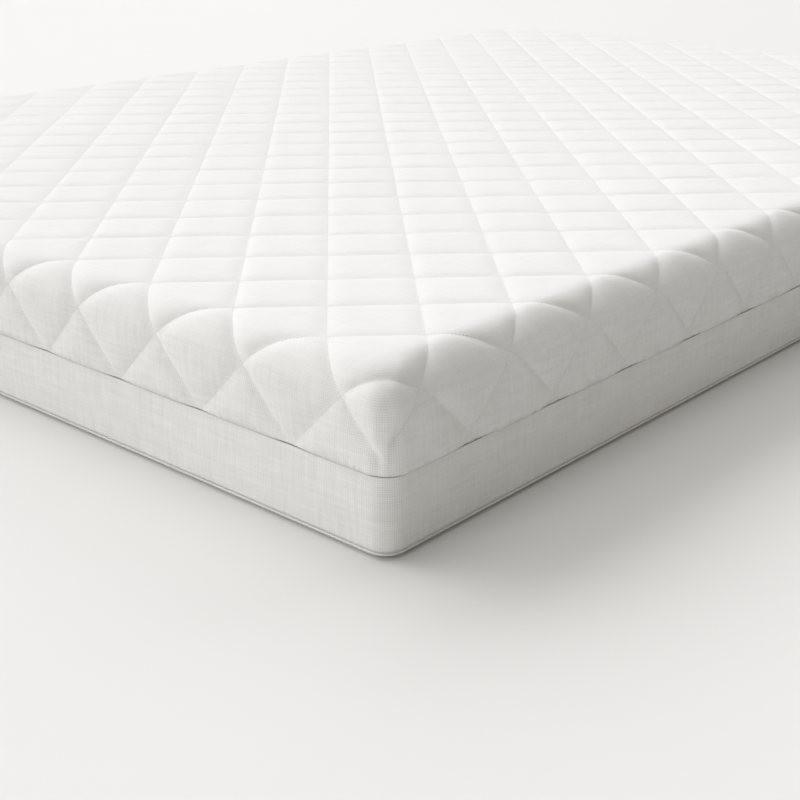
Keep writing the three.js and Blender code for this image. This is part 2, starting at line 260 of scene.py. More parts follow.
@dataclass(frozen=True)
class Cloth(Coloured):
    """A plain-woven cloth with uneven, slubby yarns."""

    yarn: float = 1.95 * MM
    depth: float = 0.3 * MM
    slub: float = 0.35
    sheen: float = 0.25
    pressed: Span = (0.12, 0.162)

    def material(self) -> bpy.types.Material:
        """Weave two sets of yarns that pass over and under each other."""
        shader = Shader(self.name, "cloth")
        x, y, _ = shader.axes()
        warp_slub = shader.noise(1.0, (1 / (2.2 * self.yarn), 22.0, 22.0))
        weft_slub = shader.noise(1.0, (18.0, 1 / (2.2 * self.yarn), 18.0))
        across = (x * (math.pi / self.yarn) + (warp_slub - 0.5) * 1.6).sine()
        along = (y * (math.pi / self.yarn) + (weft_slub - 0.5) * 1.6).sine()
        over = (across * along * 2.5).math("TANH") * 0.5 + 0.5
        warp = across.absolute() ** 0.6
        weft = along.absolute() ** 0.6
        weave = warp * over + weft * (1.0 - over)
        streak = warp_slub * 0.5 + weft_slub * 0.5
        fuzz = shader.noise(900.0, detail=2.0)
        patch = shader.noise(3.2, detail=2.0)
        height = weave * 0.7 + streak * self.slub + fuzz * 0.12
        where = shader.node("ShaderNodeTexCoord", {}, []).outputs["Object"]
        spot = shader.node("ShaderNodeSeparateXYZ", {}, [where])
        crisp = 1.0 - Value(shader, spot.outputs["Z"]).smooth(*self.pressed) * 0.6
        marked = weave * 0.62 + streak * 0.75 + patch * 0.2 - 0.97
        tone = (marked * crisp + 0.77).math("MINIMUM", 1.0)
        self.tint(shader, tone)
        shader.dress(Roughness=0.86 + fuzz * 0.12)
        shader.dress(Sheen_Weight=self.sheen, Sheen_Roughness=0.45, Specular_IOR_Level=0.25)
        shader.relief(height, self.depth)
        return shader.material


@dataclass(frozen=True)
class Knit(Coloured):
    """A fine rib knit, in columns of loops."""

    wale: float = 1.6 * MM
    depth: float = 0.25 * MM

    def material(self) -> bpy.types.Material:
        """Draw columns of V-shaped loops."""
        shader = Shader(self.name, "cloth")
        x, y, _ = shader.axes()
        column = (x * (math.pi / self.wale)).sine().absolute()
        loop = (y * (2 * math.pi / self.wale) + column * 2.2).sine() * 0.5 + 0.5
        height = (column ** 0.7) * 0.6 + loop * 0.4
        soft = shader.noise(14.0)
        tone = height * 0.55 + soft * 0.45
        self.tint(shader, tone)
        shader.dress(Roughness=0.9 + soft * 0.08)
        shader.dress(Sheen_Weight=0.2, Sheen_Roughness=0.5, Specular_IOR_Level=0.2)
        shader.relief(height, self.depth)
        return shader.material


@dataclass(frozen=True)
class Twill(Coloured):
    """A narrow woven tape with a diagonal line."""

    line: float = 1.1 * MM

    def material(self) -> bpy.types.Material:
        """Draw diagonal ribs broken by the weft."""
        shader = Shader(self.name, "cloth")
        x, y, _ = shader.axes(turn=38.0)
        rib = (x * (math.pi / self.line)).sine().absolute()
        pick = (y * (2 * math.pi / self.line)).sine() * 0.5 + 0.5
        height = rib * 0.75 + pick * 0.25
        wear = shader.noise(60.0)
        tone = height * 0.6 + wear * 0.4
        self.tint(shader, tone)
        shader.dress(Roughness=0.78 + wear * 0.15, Specular_IOR_Level=0.3)
        shader.relief(height, 0.2 * MM)
        return shader.material


@dataclass(frozen=True)
class Foam(Coloured):
    """Open-cell foam with a skinless cut surface."""

    cell: float = 1.2 * MM

    def material(self) -> bpy.types.Material:
        """Scatter open cells of two sizes over faint saw marks."""
        shader = Shader(self.name)
        fine = shader.cells(1 / self.cell).smooth(0.15, 0.6)
        coarse = shader.cells(1 / (3.5 * self.cell)).smooth(0.1, 0.35)
        saw = shader.noise(26.0, (1.0, 1.0, 9.0))
        height = fine * 0.55 + coarse * 0.3 + saw * 0.15
        tone = height * 0.7 + saw * 0.3
        self.tint(shader, tone)
        shader.dress(Roughness=0.93 + saw * 0.05, Specular_IOR_Level=0.2)
        shader.relief(height, 0.35 * MM)
        return shader.material


@dataclass(frozen=True)
class Fibre(Coloured):
    """Loose bonded fibre, as in wadding or a non-woven scrim."""

    scale: float = 260.0
    depth: float = 0.8 * MM
    pinch: float = 0.0

    def material(self) -> bpy.types.Material:
        """Tangle fibres in two directions and pinch them at bond points."""
        shader = Shader(self.name)
        one = shader.noise(self.scale, (1.0, 0.25, 0.6), 5.0)
        two = shader.noise(self.scale, (0.25, 1.0, 0.6), 5.0)
        tangle = one.math("MAXIMUM", two).smooth(0.35, 0.75)
        height = tangle
        if self.pinch:
            bond = shader.cells(1 / self.pinch, randomness=0.15).smooth(0.12, 0.3)
            height = tangle * 0.4 + bond * 0.6
        self.tint(shader, height)
        shader.dress(Roughness=0.92 + tangle * 0.07)
        shader.dress(Sheen_Weight=0.3, Sheen_Roughness=0.6, Specular_IOR_Level=0.15)
        shader.relief(height, self.depth)
        return shader.material


@dataclass(frozen=True)
class Thread(Coloured):
    """Twisted sewing thread."""

    def material(self) -> bpy.types.Material:
        """Wind fine plies round the thread."""
        shader = Shader(self.name)
        x, y, z = shader.axes(turn=31.0)
        ply = ((x + y + z) * (2 * math.pi / (0.5 * MM))).sine() * 0.5 + 0.5
        lint = shader.noise(1500.0)
        tone = ply * 0.6 + lint * 0.4
        self.tint(shader, tone)
        shader.dress(Roughness=0.6 + lint * 0.2, Specular_IOR_Level=0.4)
        shader.relief(ply, 0.08 * MM)
        return shader.material


@dataclass(frozen=True)
class Moulded(Coloured):
    """Nylon or acetal, satin from the mould."""

    roughness: float = 0.42

    def material(self) -> bpy.types.Material:
        """Mottle the colour and gloss a little, as handled plastic is."""
        shader = Shader(self.name)
        flow = shader.noise(420.0, (1.0, 1.0, 3.0))
        grain = shader.noise(2600.0)
        self.tint(shader, flow)
        shader.dress(Roughness=self.roughness - 0.08 + flow * 0.16)
        shader.relief(grain, 0.02 * MM)
        return shader.material


@dataclass(frozen=True)
class Metal(Coloured):
    """Plated die-cast zinc with rub marks in patches."""

    def material(self) -> bpy.types.Material:
        """Brush the plating and dull it in patches."""
        shader = Shader(self.name)
        brush = shader.noise(900.0, (0.12, 1.0, 1.0))
        dull = shader.noise(160.0).smooth(0.42, 0.68)
        shader.dress(Base_Color=shader.blend(dull, self.light, self.dark))
        shader.dress(Roughness=0.2 + brush * 0.14 + dull * 0.16, Metallic=1.0)
        shader.relief(brush, 0.03 * MM)
        return shader.material


@dataclass(frozen=True)
class Satin(Coloured):
    """Woven satin label ribbon, shinier across its floats."""

    def material(self) -> bpy.types.Material:
        """Lay fine floats side by side."""
        shader = Shader(self.name, "cloth")
        x, y, _ = shader.axes()
        floats = (x * (math.pi / (0.45 * MM))).sine().absolute()
        edge = (y * (math.pi / (0.9 * MM))).sine().absolute()
        silk = shader.noise(40.0, (1.0, 6.0, 1.0))
        tone = floats * 0.4 + silk * 0.6
        self.tint(shader, tone)
        shader.dress(Roughness=0.34 + silk * 0.2, Sheen_Weight=0.3)
        shader.relief(floats * 0.7 + edge * 0.3, 0.06 * MM)
        return shader.material


@dataclass(frozen=True)
class Glue(Coloured):
    """Sprayed adhesive: a patchy film of spatter and threads."""

    def material(self) -> bpy.types.Material:
        """Spatter drops over a thin web."""
        shader = Shader(self.name)
        drops = shader.cells(220.0).smooth(0.2, 0.55)
        web = shader.noise(90.0, detail=6.0).smooth(0.4, 0.6)
        height = (1.0 - drops) * 0.6 + web * 0.4
        self.tint(shader, height)
        shader.dress(Roughness=0.3 + drops * 0.35)
        shader.relief(height, 0.15 * MM)
        return shader.material


class Finish(Enum):
    """Every finish on the mattress, each named for the record's slot that it dresses."""

    QUILTED_TICKING = Cloth("quilted_ticking", (0.93, 0.925, 0.915), (0.57, 0.56, 0.54))
    PLAIN_TICKING = Cloth("plain_ticking", (0.92, 0.915, 0.9), (0.56, 0.55, 0.53))
    BOTTOM_CLOTH = Cloth("bottom_cloth", (0.74, 0.73, 0.7), (0.5, 0.49, 0.46), 2.6 * MM)
    BINDING = Cloth("binding", (0.8, 0.79, 0.76), (0.6, 0.585, 0.55), 1.0 * MM, 0.1 * MM)
    WADDING = Fibre("wadding", (0.93, 0.925, 0.91), (0.78, 0.77, 0.75))
    SCRIM = Fibre("scrim", (0.9, 0.89, 0.87), (0.7, 0.69, 0.66), 520.0, 0.2 * MM, 3.0 * MM)
    SLEEVE_KNIT = Knit("sleeve_knit", (0.9, 0.89, 0.87), (0.7, 0.69, 0.665))
    MEMORY_FOAM = Foam("memory_foam", (0.88, 0.82, 0.66), (0.68, 0.6, 0.44), 0.9 * MM)
    TRANSITION_FOAM = Foam("transition_foam", (0.72, 0.78, 0.82), (0.5, 0.57, 0.62), 1.3 * MM)
    SUPPORT_FOAM = Foam("support_foam", (0.9, 0.89, 0.85), (0.7, 0.69, 0.64), 1.7 * MM)
    ADHESIVE = Glue("adhesive", (0.84, 0.78, 0.62), (0.66, 0.58, 0.4))
    ZIP_TAPE = Twill("zip_tape", (0.7, 0.69, 0.66), (0.48, 0.47, 0.44))
    ZIP_TEETH = Moulded("zip_teeth", (0.74, 0.73, 0.7), (0.62, 0.61, 0.58))
    ZIP_METAL = Metal("zip_metal", (0.75, 0.75, 0.76), (0.5, 0.5, 0.51))
    LABEL_SATIN = Satin("label_satin", (0.93, 0.93, 0.92), (0.78, 0.78, 0.77))
    THREAD = Thread("stitching", (0.85, 0.845, 0.83), (0.64, 0.63, 0.605))


_made: dict[Finish, bpy.types.Material] = {}


def material_of(finish: Finish) -> bpy.types.Material:
    """Return a finish's material, made the first time that it is asked for."""
    if finish not in _made:
        _made[finish] = finish.value.material()
    return _made[finish]


# ---- Meshes ---------------------------------------------------------------


def as_mesh(bm: bmesh.types.BMesh, name: str) -> bpy.types.Mesh:
    """Turn a bmesh into a mesh and free it."""
    mesh = bpy.data.meshes.new(name)
    bm.to_mesh(mesh)
    bm.free()
    return mesh


def points_of(mesh: bpy.types.Mesh) -> np.ndarray:
    """Return a mesh's vertices as rows of X, Y and Z."""
    flat = np.empty(3 * len(mesh.vertices))
    mesh.vertices.foreach_get("co", flat)
    return flat.reshape(-1, 3)


def move_points(mesh: bpy.types.Mesh, points: np.ndarray) -> None:
    """Put a mesh's vertices at new places."""
    mesh.vertices.foreach_set("co", np.ascontiguousarray(points, dtype=np.float64).ravel())
    mesh.update()


def corners_of(mesh: bpy.types.Mesh) -> np.ndarray:
    """Return the vertex at each face corner."""
    flat = np.empty(len(mesh.loops), dtype=np.int32)
    mesh.loops.foreach_get("vertex_index", flat)
    return flat


def lay_uv(mesh: bpy.types.Mesh, name: str, by_corner: np.ndarray) -> None:
    """Give a mesh a UV map.

    Args:
        mesh: the mesh.
        name: the map's name.
        by_corner: U and V at each face corner.
    """
    layer = mesh.uv_layers.new(name=name)
    layer.data.foreach_set("uv", np.ascontiguousarray(by_corner, dtype=np.float64).ravel())


def box_uv(mesh: bpy.types.Mesh) -> None:
    """Lay the "cloth" map from the side that each face looks to, at true size."""
    points = points_of(mesh)[corners_of(mesh)]
    count = len(mesh.polygons)
    normals = np.empty(3 * count)
    mesh.polygons.foreach_get("normal", normals)
    sizes = np.empty(count, dtype=np.int32)
    mesh.polygons.foreach_get("loop_total", sizes)
    facing = np.abs(np.repeat(normals.reshape(-1, 3), sizes, axis=0))
    main = facing.argmax(axis=1)
    pairs = {0: (1, 2), 1: (0, 2), 2: (0, 1)}
    uv = np.empty((len(points), 2))
    for axis, (first, second) in pairs.items():
        rows = main == axis
        uv[rows] = points[rows][:, [first, second]]
    lay_uv(mesh, "cloth", uv)


@dataclass
class Piece:
    """One finished piece on its way into the scene."""

    name: str
    mesh: bpy.types.Mesh
    finish: Finish
    body: str
    smooth: bool = True
    nodes: tuple[str, ...] = ()
    slot: Optional[str] = None
    modifiers: list[Callable[[bpy.types.Object], None]] = field(default_factory=list)

    def place(self) -> bpy.types.Object:
        """Link the piece, dress it and tie it to its body.

        Returns:
            The piece's object.
        """
        made = bpy.data.objects.new(self.name, self.mesh)
        bpy.context.scene.collection.objects.link(made)
        self.mesh.polygons.foreach_set("use_smooth", [self.smooth] * len(self.mesh.polygons))
        if not self.mesh.uv_layers:
            box_uv(self.mesh)
        self.mesh.materials.append(material_of(self.finish))
        for modify in self.modifiers:
            modify(made)
        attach(made, self.body)
        if self.nodes:
            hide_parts(*self.nodes)
        self.slot or not self.nodes
        faces = len(self.mesh.polygons)
        LOG.info("%s on %s: %d faces, %s", self.name, self.body, faces, self.finish.name)
        return made


def thicken(thickness: float, offset: float = -1.0) -> Callable[[bpy.types.Object], None]:
    """Return a modifier that gives a sheet its thickness, inwards unless told otherwise."""

    def modify(made: bpy.types.Object) -> None:
        """Add the modifier."""
        solidify = made.modifiers.new("thickness", "SOLIDIFY")
        solidify.thickness = thickness
        solidify.offset = offset

    return modify


def soften(width: float, segments: int = 2) -> Callable[[bpy.types.Object], None]:
    """Return a modifier that rounds a hard piece's edges."""

    def modify(made: bpy.types.Object) -> None:
        """Add the modifier."""
        bevel = made.modifiers.new("edges", "BEVEL")
        bevel.width = width
        bevel.segments = segments
        bevel.limit_method = "ANGLE"
        bevel.harden_normals = False

    return modify


def fill_out(depths: np.ndarray) -> Callable[[bpy.types.Object], None]:
    """Return a modifier that gives a sheet its own thickness at each vertex, inwards."""
    most = float(depths.max())
    shares = np.round(np.clip(depths / most, 0.02, 1.0), 2)

    def modify(made: bpy.types.Object) -> None:
        """Weigh the thickness by a vertex group."""
        loft = made.vertex_groups.new(name="loft")
        for level in np.unique(shares):
            loft.add(np.flatnonzero(shares == level).tolist(), float(level), "REPLACE")
        thicken(most)(made)
        made.modifiers["thickness"].vertex_group = "loft"

    return modify


def soft(
    name: str,
    mesh: bpy.types.Mesh,
    finish: Finish,
    body: str,
    node: str,
    modifier: Callable[[bpy.types.Object], None],
) -> bpy.types.Object:
    """Place a piece of cloth or padding that stands for one soft part.

    Args:
        name: the piece's name.
        mesh: its outer face.
        finish: its finish.
        body: the body that it rides on.
        node: the part's node.
        modifier: what gives it its thickness.

    Returns:
        The piece's object.
    """
    return Piece(name, mesh, finish, body, nodes=(node,), modifiers=[modifier]).place()


def waves(seed: int, count: int, low: float, high: float) -> np.ndarray:
    """Return plane waves for a smooth, repeatable unevenness.

    Args:
        seed: picks the waves.
        count: how many.
        low: the longest wavelength, in metres.
        high: the shortest.

    Returns:
        Rows of wave number along each of two axes, and phase.
    """
    picked = np.random.default_rng(seed)
    heading = picked.uniform(0, 2 * math.pi, count)
    number = 2 * math.pi / np.exp(picked.uniform(math.log(high), math.log(low), count))
    phase = picked.uniform(0, 2 * math.pi, count)
    return np.stack([number * np.cos(heading), number * np.sin(heading), phase], axis=1)


def ripple(rows: np.ndarray, u: np.ndarray, v: np.ndarray) -> np.ndarray:
    """Add up plane waves at points, to about 1 at most."""
    total = np.zeros_like(u)
    for along_u, along_v, phase in rows:
        total += np.sin(along_u * u + along_v * v + phase)
    return total / math.sqrt(len(rows))


def step_up(x: np.ndarray, low: float, high: float) -> np.ndarray:
    """Rise smoothly from 0 at low to 1 at high."""
    t = np.clip((x - low) / (high - low), 0, 1)
    return t * t * (3 - 2 * t)


def scatter(template: bpy.types.Mesh, frames: np.ndarray, name: str) -> bpy.types.Mesh:
    """Copy a small mesh to many places.

    Args:
        template: the mesh to copy.
        frames: one 3 by 4 row-major matrix for each copy.
        name: the new mesh's name.

    Returns:
        One mesh that holds every copy.
    """
    points = np.c_[points_of(template), np.ones(len(template.vertices))]
    placed = np.einsum("nij,kj->nki", frames, points).reshape(-1, 3)
    corners = corners_of(template)
    starts = np.array([face.loop_start for face in template.polygons])
    steps = np.arange(len(frames))[:, None]
    all_corners = (corners[None] + steps * len(points)).ravel()
    all_starts = (starts[None] + steps * len(corners)).ravel()
    mesh = bpy.data.meshes.new(name)
    mesh.vertices.add(len(placed))
    mesh.vertices.foreach_set("co", placed.ravel())
    mesh.loops.add(len(all_corners))
    mesh.loops.foreach_set("vertex_index", all_corners.astype(np.int32))
    mesh.polygons.add(len(all_starts))
    mesh.polygons.foreach_set("loop_start", all_starts.astype(np.int32))
    mesh.update(calc_edges=True)
    mesh.validate()
    bpy.data.meshes.remove(template)
    return mesh


def stitch_template(length: float, width: float) -> bpy.types.Mesh:
    """Return one stitch: a short fat lens of thread along X, its crown towards Z."""
    bm = bmesh.new()
    bmesh.ops.create_uvsphere(bm, u_segments=4, v_segments=3, radius=0.5)
    bmesh.ops.rotate(bm, matrix=Matrix.Rotation(math.pi / 2, 3, "Y"), verts=bm.verts)
    bmesh.ops.scale(bm, vec=(length, width, width), verts=bm.verts)
    return as_mesh(bm, "stitch")


def frames_from(places: np.ndarray, along: np.ndarray, outward: np.ndarray) -> np.ndarray:
    """Return matrices that stand copies on a surface.

    Args:
        places: where each copy's origin goes.
        along: the direction of each copy's X.
        outward: the surface's normal, each copy's Z.

    Returns:
        One 3 by 4 matrix for each.
    """
    along = along / np.linalg.norm(along, axis=1, keepdims=True)
    side = np.cross(outward, along)
    side /= np.linalg.norm(side, axis=1, keepdims=True)
    up = np.cross(along, side)
    return np.stack([along, side, up, places], axis=2)


# ---- The mattress's form --------------------------------------------------


@dataclass(frozen=True)
class Form:
    """The rounded box that the cover is drawn over, and every layer at its own depth.

    Its upright corners grow rounder as the top edge rolls in, by `softening` times the inset.
    """

    half_x: float
    half_y: float
    top: float
    corner: float = 20 * MM
    roll: float = 34 * MM
    softening: float = 0.4
    ease: float = 12 * MM

    @property
    def margin(self) -> float:
        """How wide a frame along the edges the corners' rounding reaches into."""
        return self.corner + (1 + self.softening) * self.roll

    @property
    def flat_corner(self) -> float:
        """The corners' radius where the top starts to roll."""
        return self.corner + self.softening * self.roll

    @property
    def middle_x(self) -> float:
        """Where that frame starts, across."""
        return self.half_x - self.margin

    @property
    def middle_y(self) -> float:
        """The same, along."""
        return self.half_y - self.margin

    def deeper(self, depth: float) -> "Form":
        """Return the form of a layer further in."""
        return replace(
            self,
            half_x=self.half_x - depth,
            half_y=self.half_y - depth,
            top=self.top - depth,
            corner=max(self.corner - depth, 2 * MM),
            roll=self.roll - depth,
        )

    def drop_to(self, z: float) -> float:
        """Length of cloth from that frame's inner line, over the edge and down to z."""
        if z > self.top - self.roll:
            return self.flat_corner + self.roll * math.acos(1 - (self.top - z) / self.roll)
        return self.flat_corner + self.roll * math.pi / 2 + self.top - self.roll - z

    def level(self, drop: np.ndarray) -> tuple[np.ndarray, ...]:
        """Describe the level outline that cloth reaches when it has come this far.

        Args:
            drop: length of cloth from the frame's inner line.

        Returns:
            The angle rolled through, the straight run before the corner's arc, the arc's
            radius, and the height.
        """
        angle = np.clip((drop - self.flat_corner) / self.roll, 0, math.pi / 2)
        straight = (1 + self.softening) * self.roll * np.sin(angle)
        rolled = self.corner + self.softening * self.roll * (1 - np.sin(angle))
        radius = np.where(drop < self.flat_corner, drop, rolled)
        hang = np.maximum(drop - self.flat_corner - self.roll * math.pi / 2, 0)
        return angle, straight, radius, self.top - self.roll * (1 - np.cos(angle)) - hang

    def gather(self, drop: np.ndarray, least: np.ndarray) -> np.ndarray:
        """Take up the corner's spare cloth evenly along its outline.

        Args:
            drop: length of cloth come down.
            least: cloth along the outline, from the frame's inner line.

        Returns:
            The length along the outline that the cloth takes.
        """
        steps = np.linspace(1 * MM, 0.3, 300)
        _, straight, radius, _ = self.level(steps)
        share = (straight + radius * math.pi / 4) / steps
        tight = np.linspace(0.01, 12.0, 1200)
        squeeze = (1 - np.exp(-tight)) / tight
        rate = np.interp(-share, -squeeze, tight)
        own = np.interp(drop, steps, rate)
        safe = np.maximum(drop, 1e-9)
        return safe / own * (1 - np.exp(-own * least / safe))

    def slowing(self, drop: np.ndarray) -> np.ndarray:
        """How gently lines round the corner's middle: widely above, sharply below."""
        return self.ease * (1 - 0.85 * step_up(drop, 68 * MM, 92 * MM))

    def eased(self, run: np.ndarray, most: np.ndarray, ease: np.ndarray) -> np.ndarray:
        """Slow a run along the outline as it nears the corner's middle, to round its lines."""
        return run - ease * np.exp((run - most) / ease)

    def uneased(self, slowed: np.ndarray, most: np.ndarray, ease: np.ndarray) -> np.ndarray:
        """Return the run that slows to the one given, or a longer one than fits."""
        low, high = slowed, slowed + ease
        for _ in range(30):
            middle = (low + high) / 2
            short = self.eased(middle, most, ease) < slowed
            low, high = np.where(short, middle, low), np.where(short, high, middle)
        return np.where(slowed > most - ease, most + ease, low)

    def wrap(
        self, u: np.ndarray, v: np.ndarray, gathered: bool = True
    ) -> tuple[np.ndarray, np.ndarray, np.ndarray, np.ndarray]:
        """Place flat cloth on the form.

        Args:
            u: place across, on the cloth laid flat.
            v: place along.
            gathered: take the corners' spare cloth up; otherwise u and v are the pattern's.

        Returns:
            Points, outward normals, the pattern's place there (U and V as the cloth would run
            with its corners cut away), and how far short of the corner's middle it is.
        """
        past_u = np.maximum(np.abs(u) - self.middle_x, 0)
        past_v = np.maximum(np.abs(v) - self.middle_y, 0)
        drop = np.maximum(past_u, past_v)
        least = np.minimum(past_u, past_v)
        angle, straight, radius, z = self.level(drop)
        most = straight + radius * math.pi / 4
        if gathered:
            run = self.gather(drop, least)
        else:
            run = self.uneased(least, most, self.slowing(drop))
        short = most - run
        turned = np.clip((run - straight) / np.maximum(radius, 1e-9), 0, math.pi / 4)
        along = np.minimum(run, straight)
        over_u = past_u >= past_v
        heading = np.where(over_u, turned, math.pi / 2 - turned)
        reach_u = np.where(over_u, straight, along)
        reach_v = np.where(over_u, along, straight)
        in_u, in_v = past_u > 0, past_v > 0
        heading = np.where(in_u & ~in_v, 0.0, np.where(in_v & ~in_u, math.pi / 2, heading))
        sign_u, sign_v = np.sign(u), np.sign(v)
        out_u = np.where(in_u, reach_u + radius * np.cos(heading), 0)
        out_v = np.where(in_v, reach_v + radius * np.sin(heading), 0)
        x = np.clip(u, -self.middle_x, self.middle_x) + sign_u * out_u
        y = np.clip(v, -self.middle_y, self.middle_y) + sign_v * out_v
        lean = np.sin(angle)
        across, endways = lean * np.cos(heading) * sign_u, lean * np.sin(heading) * sign_v
        normal = np.stack([across, endways, np.cos(angle)], axis=1)
        far_u = np.where(over_u, drop, run)
        far_v = np.where(over_u, run, drop)
        pattern_u = np.where(in_u, sign_u * (self.middle_x + far_u), u)
        pattern_v = np.where(in_v, sign_v * (self.middle_y + far_v), v)
        pattern = np.stack([pattern_u, pattern_v], axis=1)
        return np.stack([x, y, z], axis=1), normal, pattern, short

    def lay(self, mesh: bpy.types.Mesh, pattern: np.ndarray, short: np.ndarray) -> None:
        """Lay the pattern on a mesh's faces, each wholly on one side of its corner's middle.

        Args:
            mesh: flat cloth, X and Y its places across and along.
            pattern: the pattern's place at each vertex.
            short: how far short of the corner's middle each vertex is.
        """
        corners = corners_of(mesh)
        counts = np.empty(len(mesh.polygons), dtype=np.int32)
        mesh.polygons.foreach_get("loop_total", counts)
        faces = np.repeat(np.arange(len(counts)), counts)
        flat = np.abs(points_of(mesh)[:, :2]) - (self.middle_x, self.middle_y)
        across = np.bincount(faces, flat[corners, 0] - flat[corners, 1]) >= 0
        past = np.abs(pattern) - (self.middle_x, self.middle_y)
        over = flat[:, 0] >= flat[:, 1]
        crossed = (flat > 0).all(axis=1)[corners] & (over[corners] != across[faces])
        drop, beyond = past.max(axis=1), past.min(axis=1) + 2 * short
        first = np.where(across[faces], drop[corners], beyond[corners])
        second = np.where(across[faces], beyond[corners], drop[corners])
        turned = np.stack([first + self.middle_x, second + self.middle_y], axis=1)
        turned *= np.sign(pattern[corners])
        lay_uv(mesh, "cloth", np.where(crossed[:, None], turned, pattern[corners]))

    def slowed(self, pattern: np.ndarray, short: np.ndarray) -> np.ndarray:
        """Ease the pattern's shorter run at the corners, as its lines round them."""
        past = np.abs(pattern) - (self.middle_x, self.middle_y)
        corner = (past > 0).all(axis=1)
        ease = self.slowing(past.max(axis=1))
        back = np.where(corner, ease * np.exp(-np.abs(short) / ease), 0.0)
        shorter = np.argmin(past, axis=1)
        eased = pattern.copy()
        rows = np.arange(len(pattern))
        eased[rows, shorter] -= np.sign(pattern[rows, shorter]) * back
        return eased

    @property
    def side_x(self) -> float:
        """Where the upright corner's arc has its centre on the sides, across."""
        return self.half_x - self.corner

    @property
    def side_y(self) -> float:
        """The same, along."""
        return self.half_y - self.corner

    @property
    def girth(self) -> float:
        """Length once round the outer face."""
        return 4 * (self.side_x + self.side_y) + 2 * math.pi * self.corner

    def around(self, t: np.ndarray) -> tuple[np.ndarray, np.ndarray]:
        """Walk round the outer face, from the middle of the foot side towards +X.

        Args:
            t: distance walked, in metres.

        Returns:
            Points at height 0 and outward normals.
        """
        quarter = self.corner * math.pi / 2
        lengths = [self.side_x, quarter, 2 * self.side_y, quarter, 2 * self.side_x]
        lengths += [quarter, 2 * self.side_y, quarter, self.side_x]
        starts = np.concatenate([[0], np.cumsum(lengths)])
        t = np.mod(t, self.girth)
        at = np.clip(np.searchsorted(starts, t, side="right") - 1, 0, len(lengths) - 1)
        gone = t - starts[at]
        heading = np.select(
            [at == 0, at == 1, at == 2, at == 3, at == 4, at == 5, at == 6, at == 7],
            [
                -math.pi / 2,
                -math.pi / 2 + gone / self.corner,
                0.0,
                gone / self.corner,
                math.pi / 2,
                math.pi / 2 + gone / self.corner,
                math.pi,
                math.pi + gone / self.corner,
            ],
            -math.pi / 2,
        )
        normal = np.stack([np.cos(heading), np.sin(heading), np.zeros_like(t)], axis=1)
        centre_x = np.select(
            [at == 0, at == 4, at == 8, (at >= 1) & (at <= 3)],
            [gone, self.side_x - gone, gone - self.side_x, self.side_x],
            -self.side_x,
        )
        centre_y = np.select(
            [at == 2, at == 6, (at >= 3) & (at <= 5)],
            [gone - self.side_y, self.side_y - gone, self.side_y],
            -self.side_y,
        )
        centre = np.stack([centre_x, centre_y, np.zeros_like(t)], axis=1)
        return centre + self.corner * normal, normal

    def columns(self, step: float, turn_steps: int = 14) -> np.ndarray:
        """Share the walk round into mesh columns.

        Args:
            step: about how far apart they are on the straights.
            turn_steps: how many steps round each corner.

        Returns:
            The distances walked, from 0 to the whole girth.
        """
        quarter = self.corner * math.pi / 2
        stops = [0.0]
        for length in (self.side_x, 2 * self.side_y, 2 * self.side_x, 2 * self.side_y):
            count = max(1, round(length / step))
            stops += [stops[-1] + length * (i + 1) / count for i in range(count)]
            stops += [stops[-1] + quarter * (i + 1) / turn_steps for i in range(turn_steps)]
        count = max(1, round(self.side_x / step))
        stops += [stops[-1] + self.side_x * (i + 1) / count for i in range(count)]
        return np.array(stops)

    def head_walk(self, x: float) -> float:
        """How far round the point at x on the head side is."""
        quarter = self.corner * math.pi / 2
        return self.side_x + 2 * quarter + 2 * self.side_y + self.side_x - x

    def dress(
        self,
        mesh: bpy.types.Mesh,
        lift: "Callable[[np.ndarray, np.ndarray, np.ndarray], np.ndarray] | float",
        under: bool = False,
    ) -> np.ndarray:
        """Wrap a flat mesh over the form and lay its pattern.

        Args:
            mesh: flat cloth, X and Y its places across and along.
            lift: how far it stands off the form, or what gives that from the pattern's U and
                V and from how far short of the corner's middle a point is.
            under: wrap it from below instead, the form's top taken as height 0.

        Returns:
            The lift at each vertex.
        """
        flat = points_of(mesh)
        u, v = flat[:, 0], flat[:, 1]
        points, normals, pattern, short = self.wrap(u, v)
        if callable(lift):
            proud = lift(*self.slowed(pattern, short).T, short)
        else:
            proud = np.full_like(u, lift)
        placed = points + normals * proud[:, None]
        self.lay(mesh, pattern, short)
        if under:
            placed[:, 2] *= -1
        move_points(mesh, placed)
        if under:
            mesh.flip_normals()
        return proud


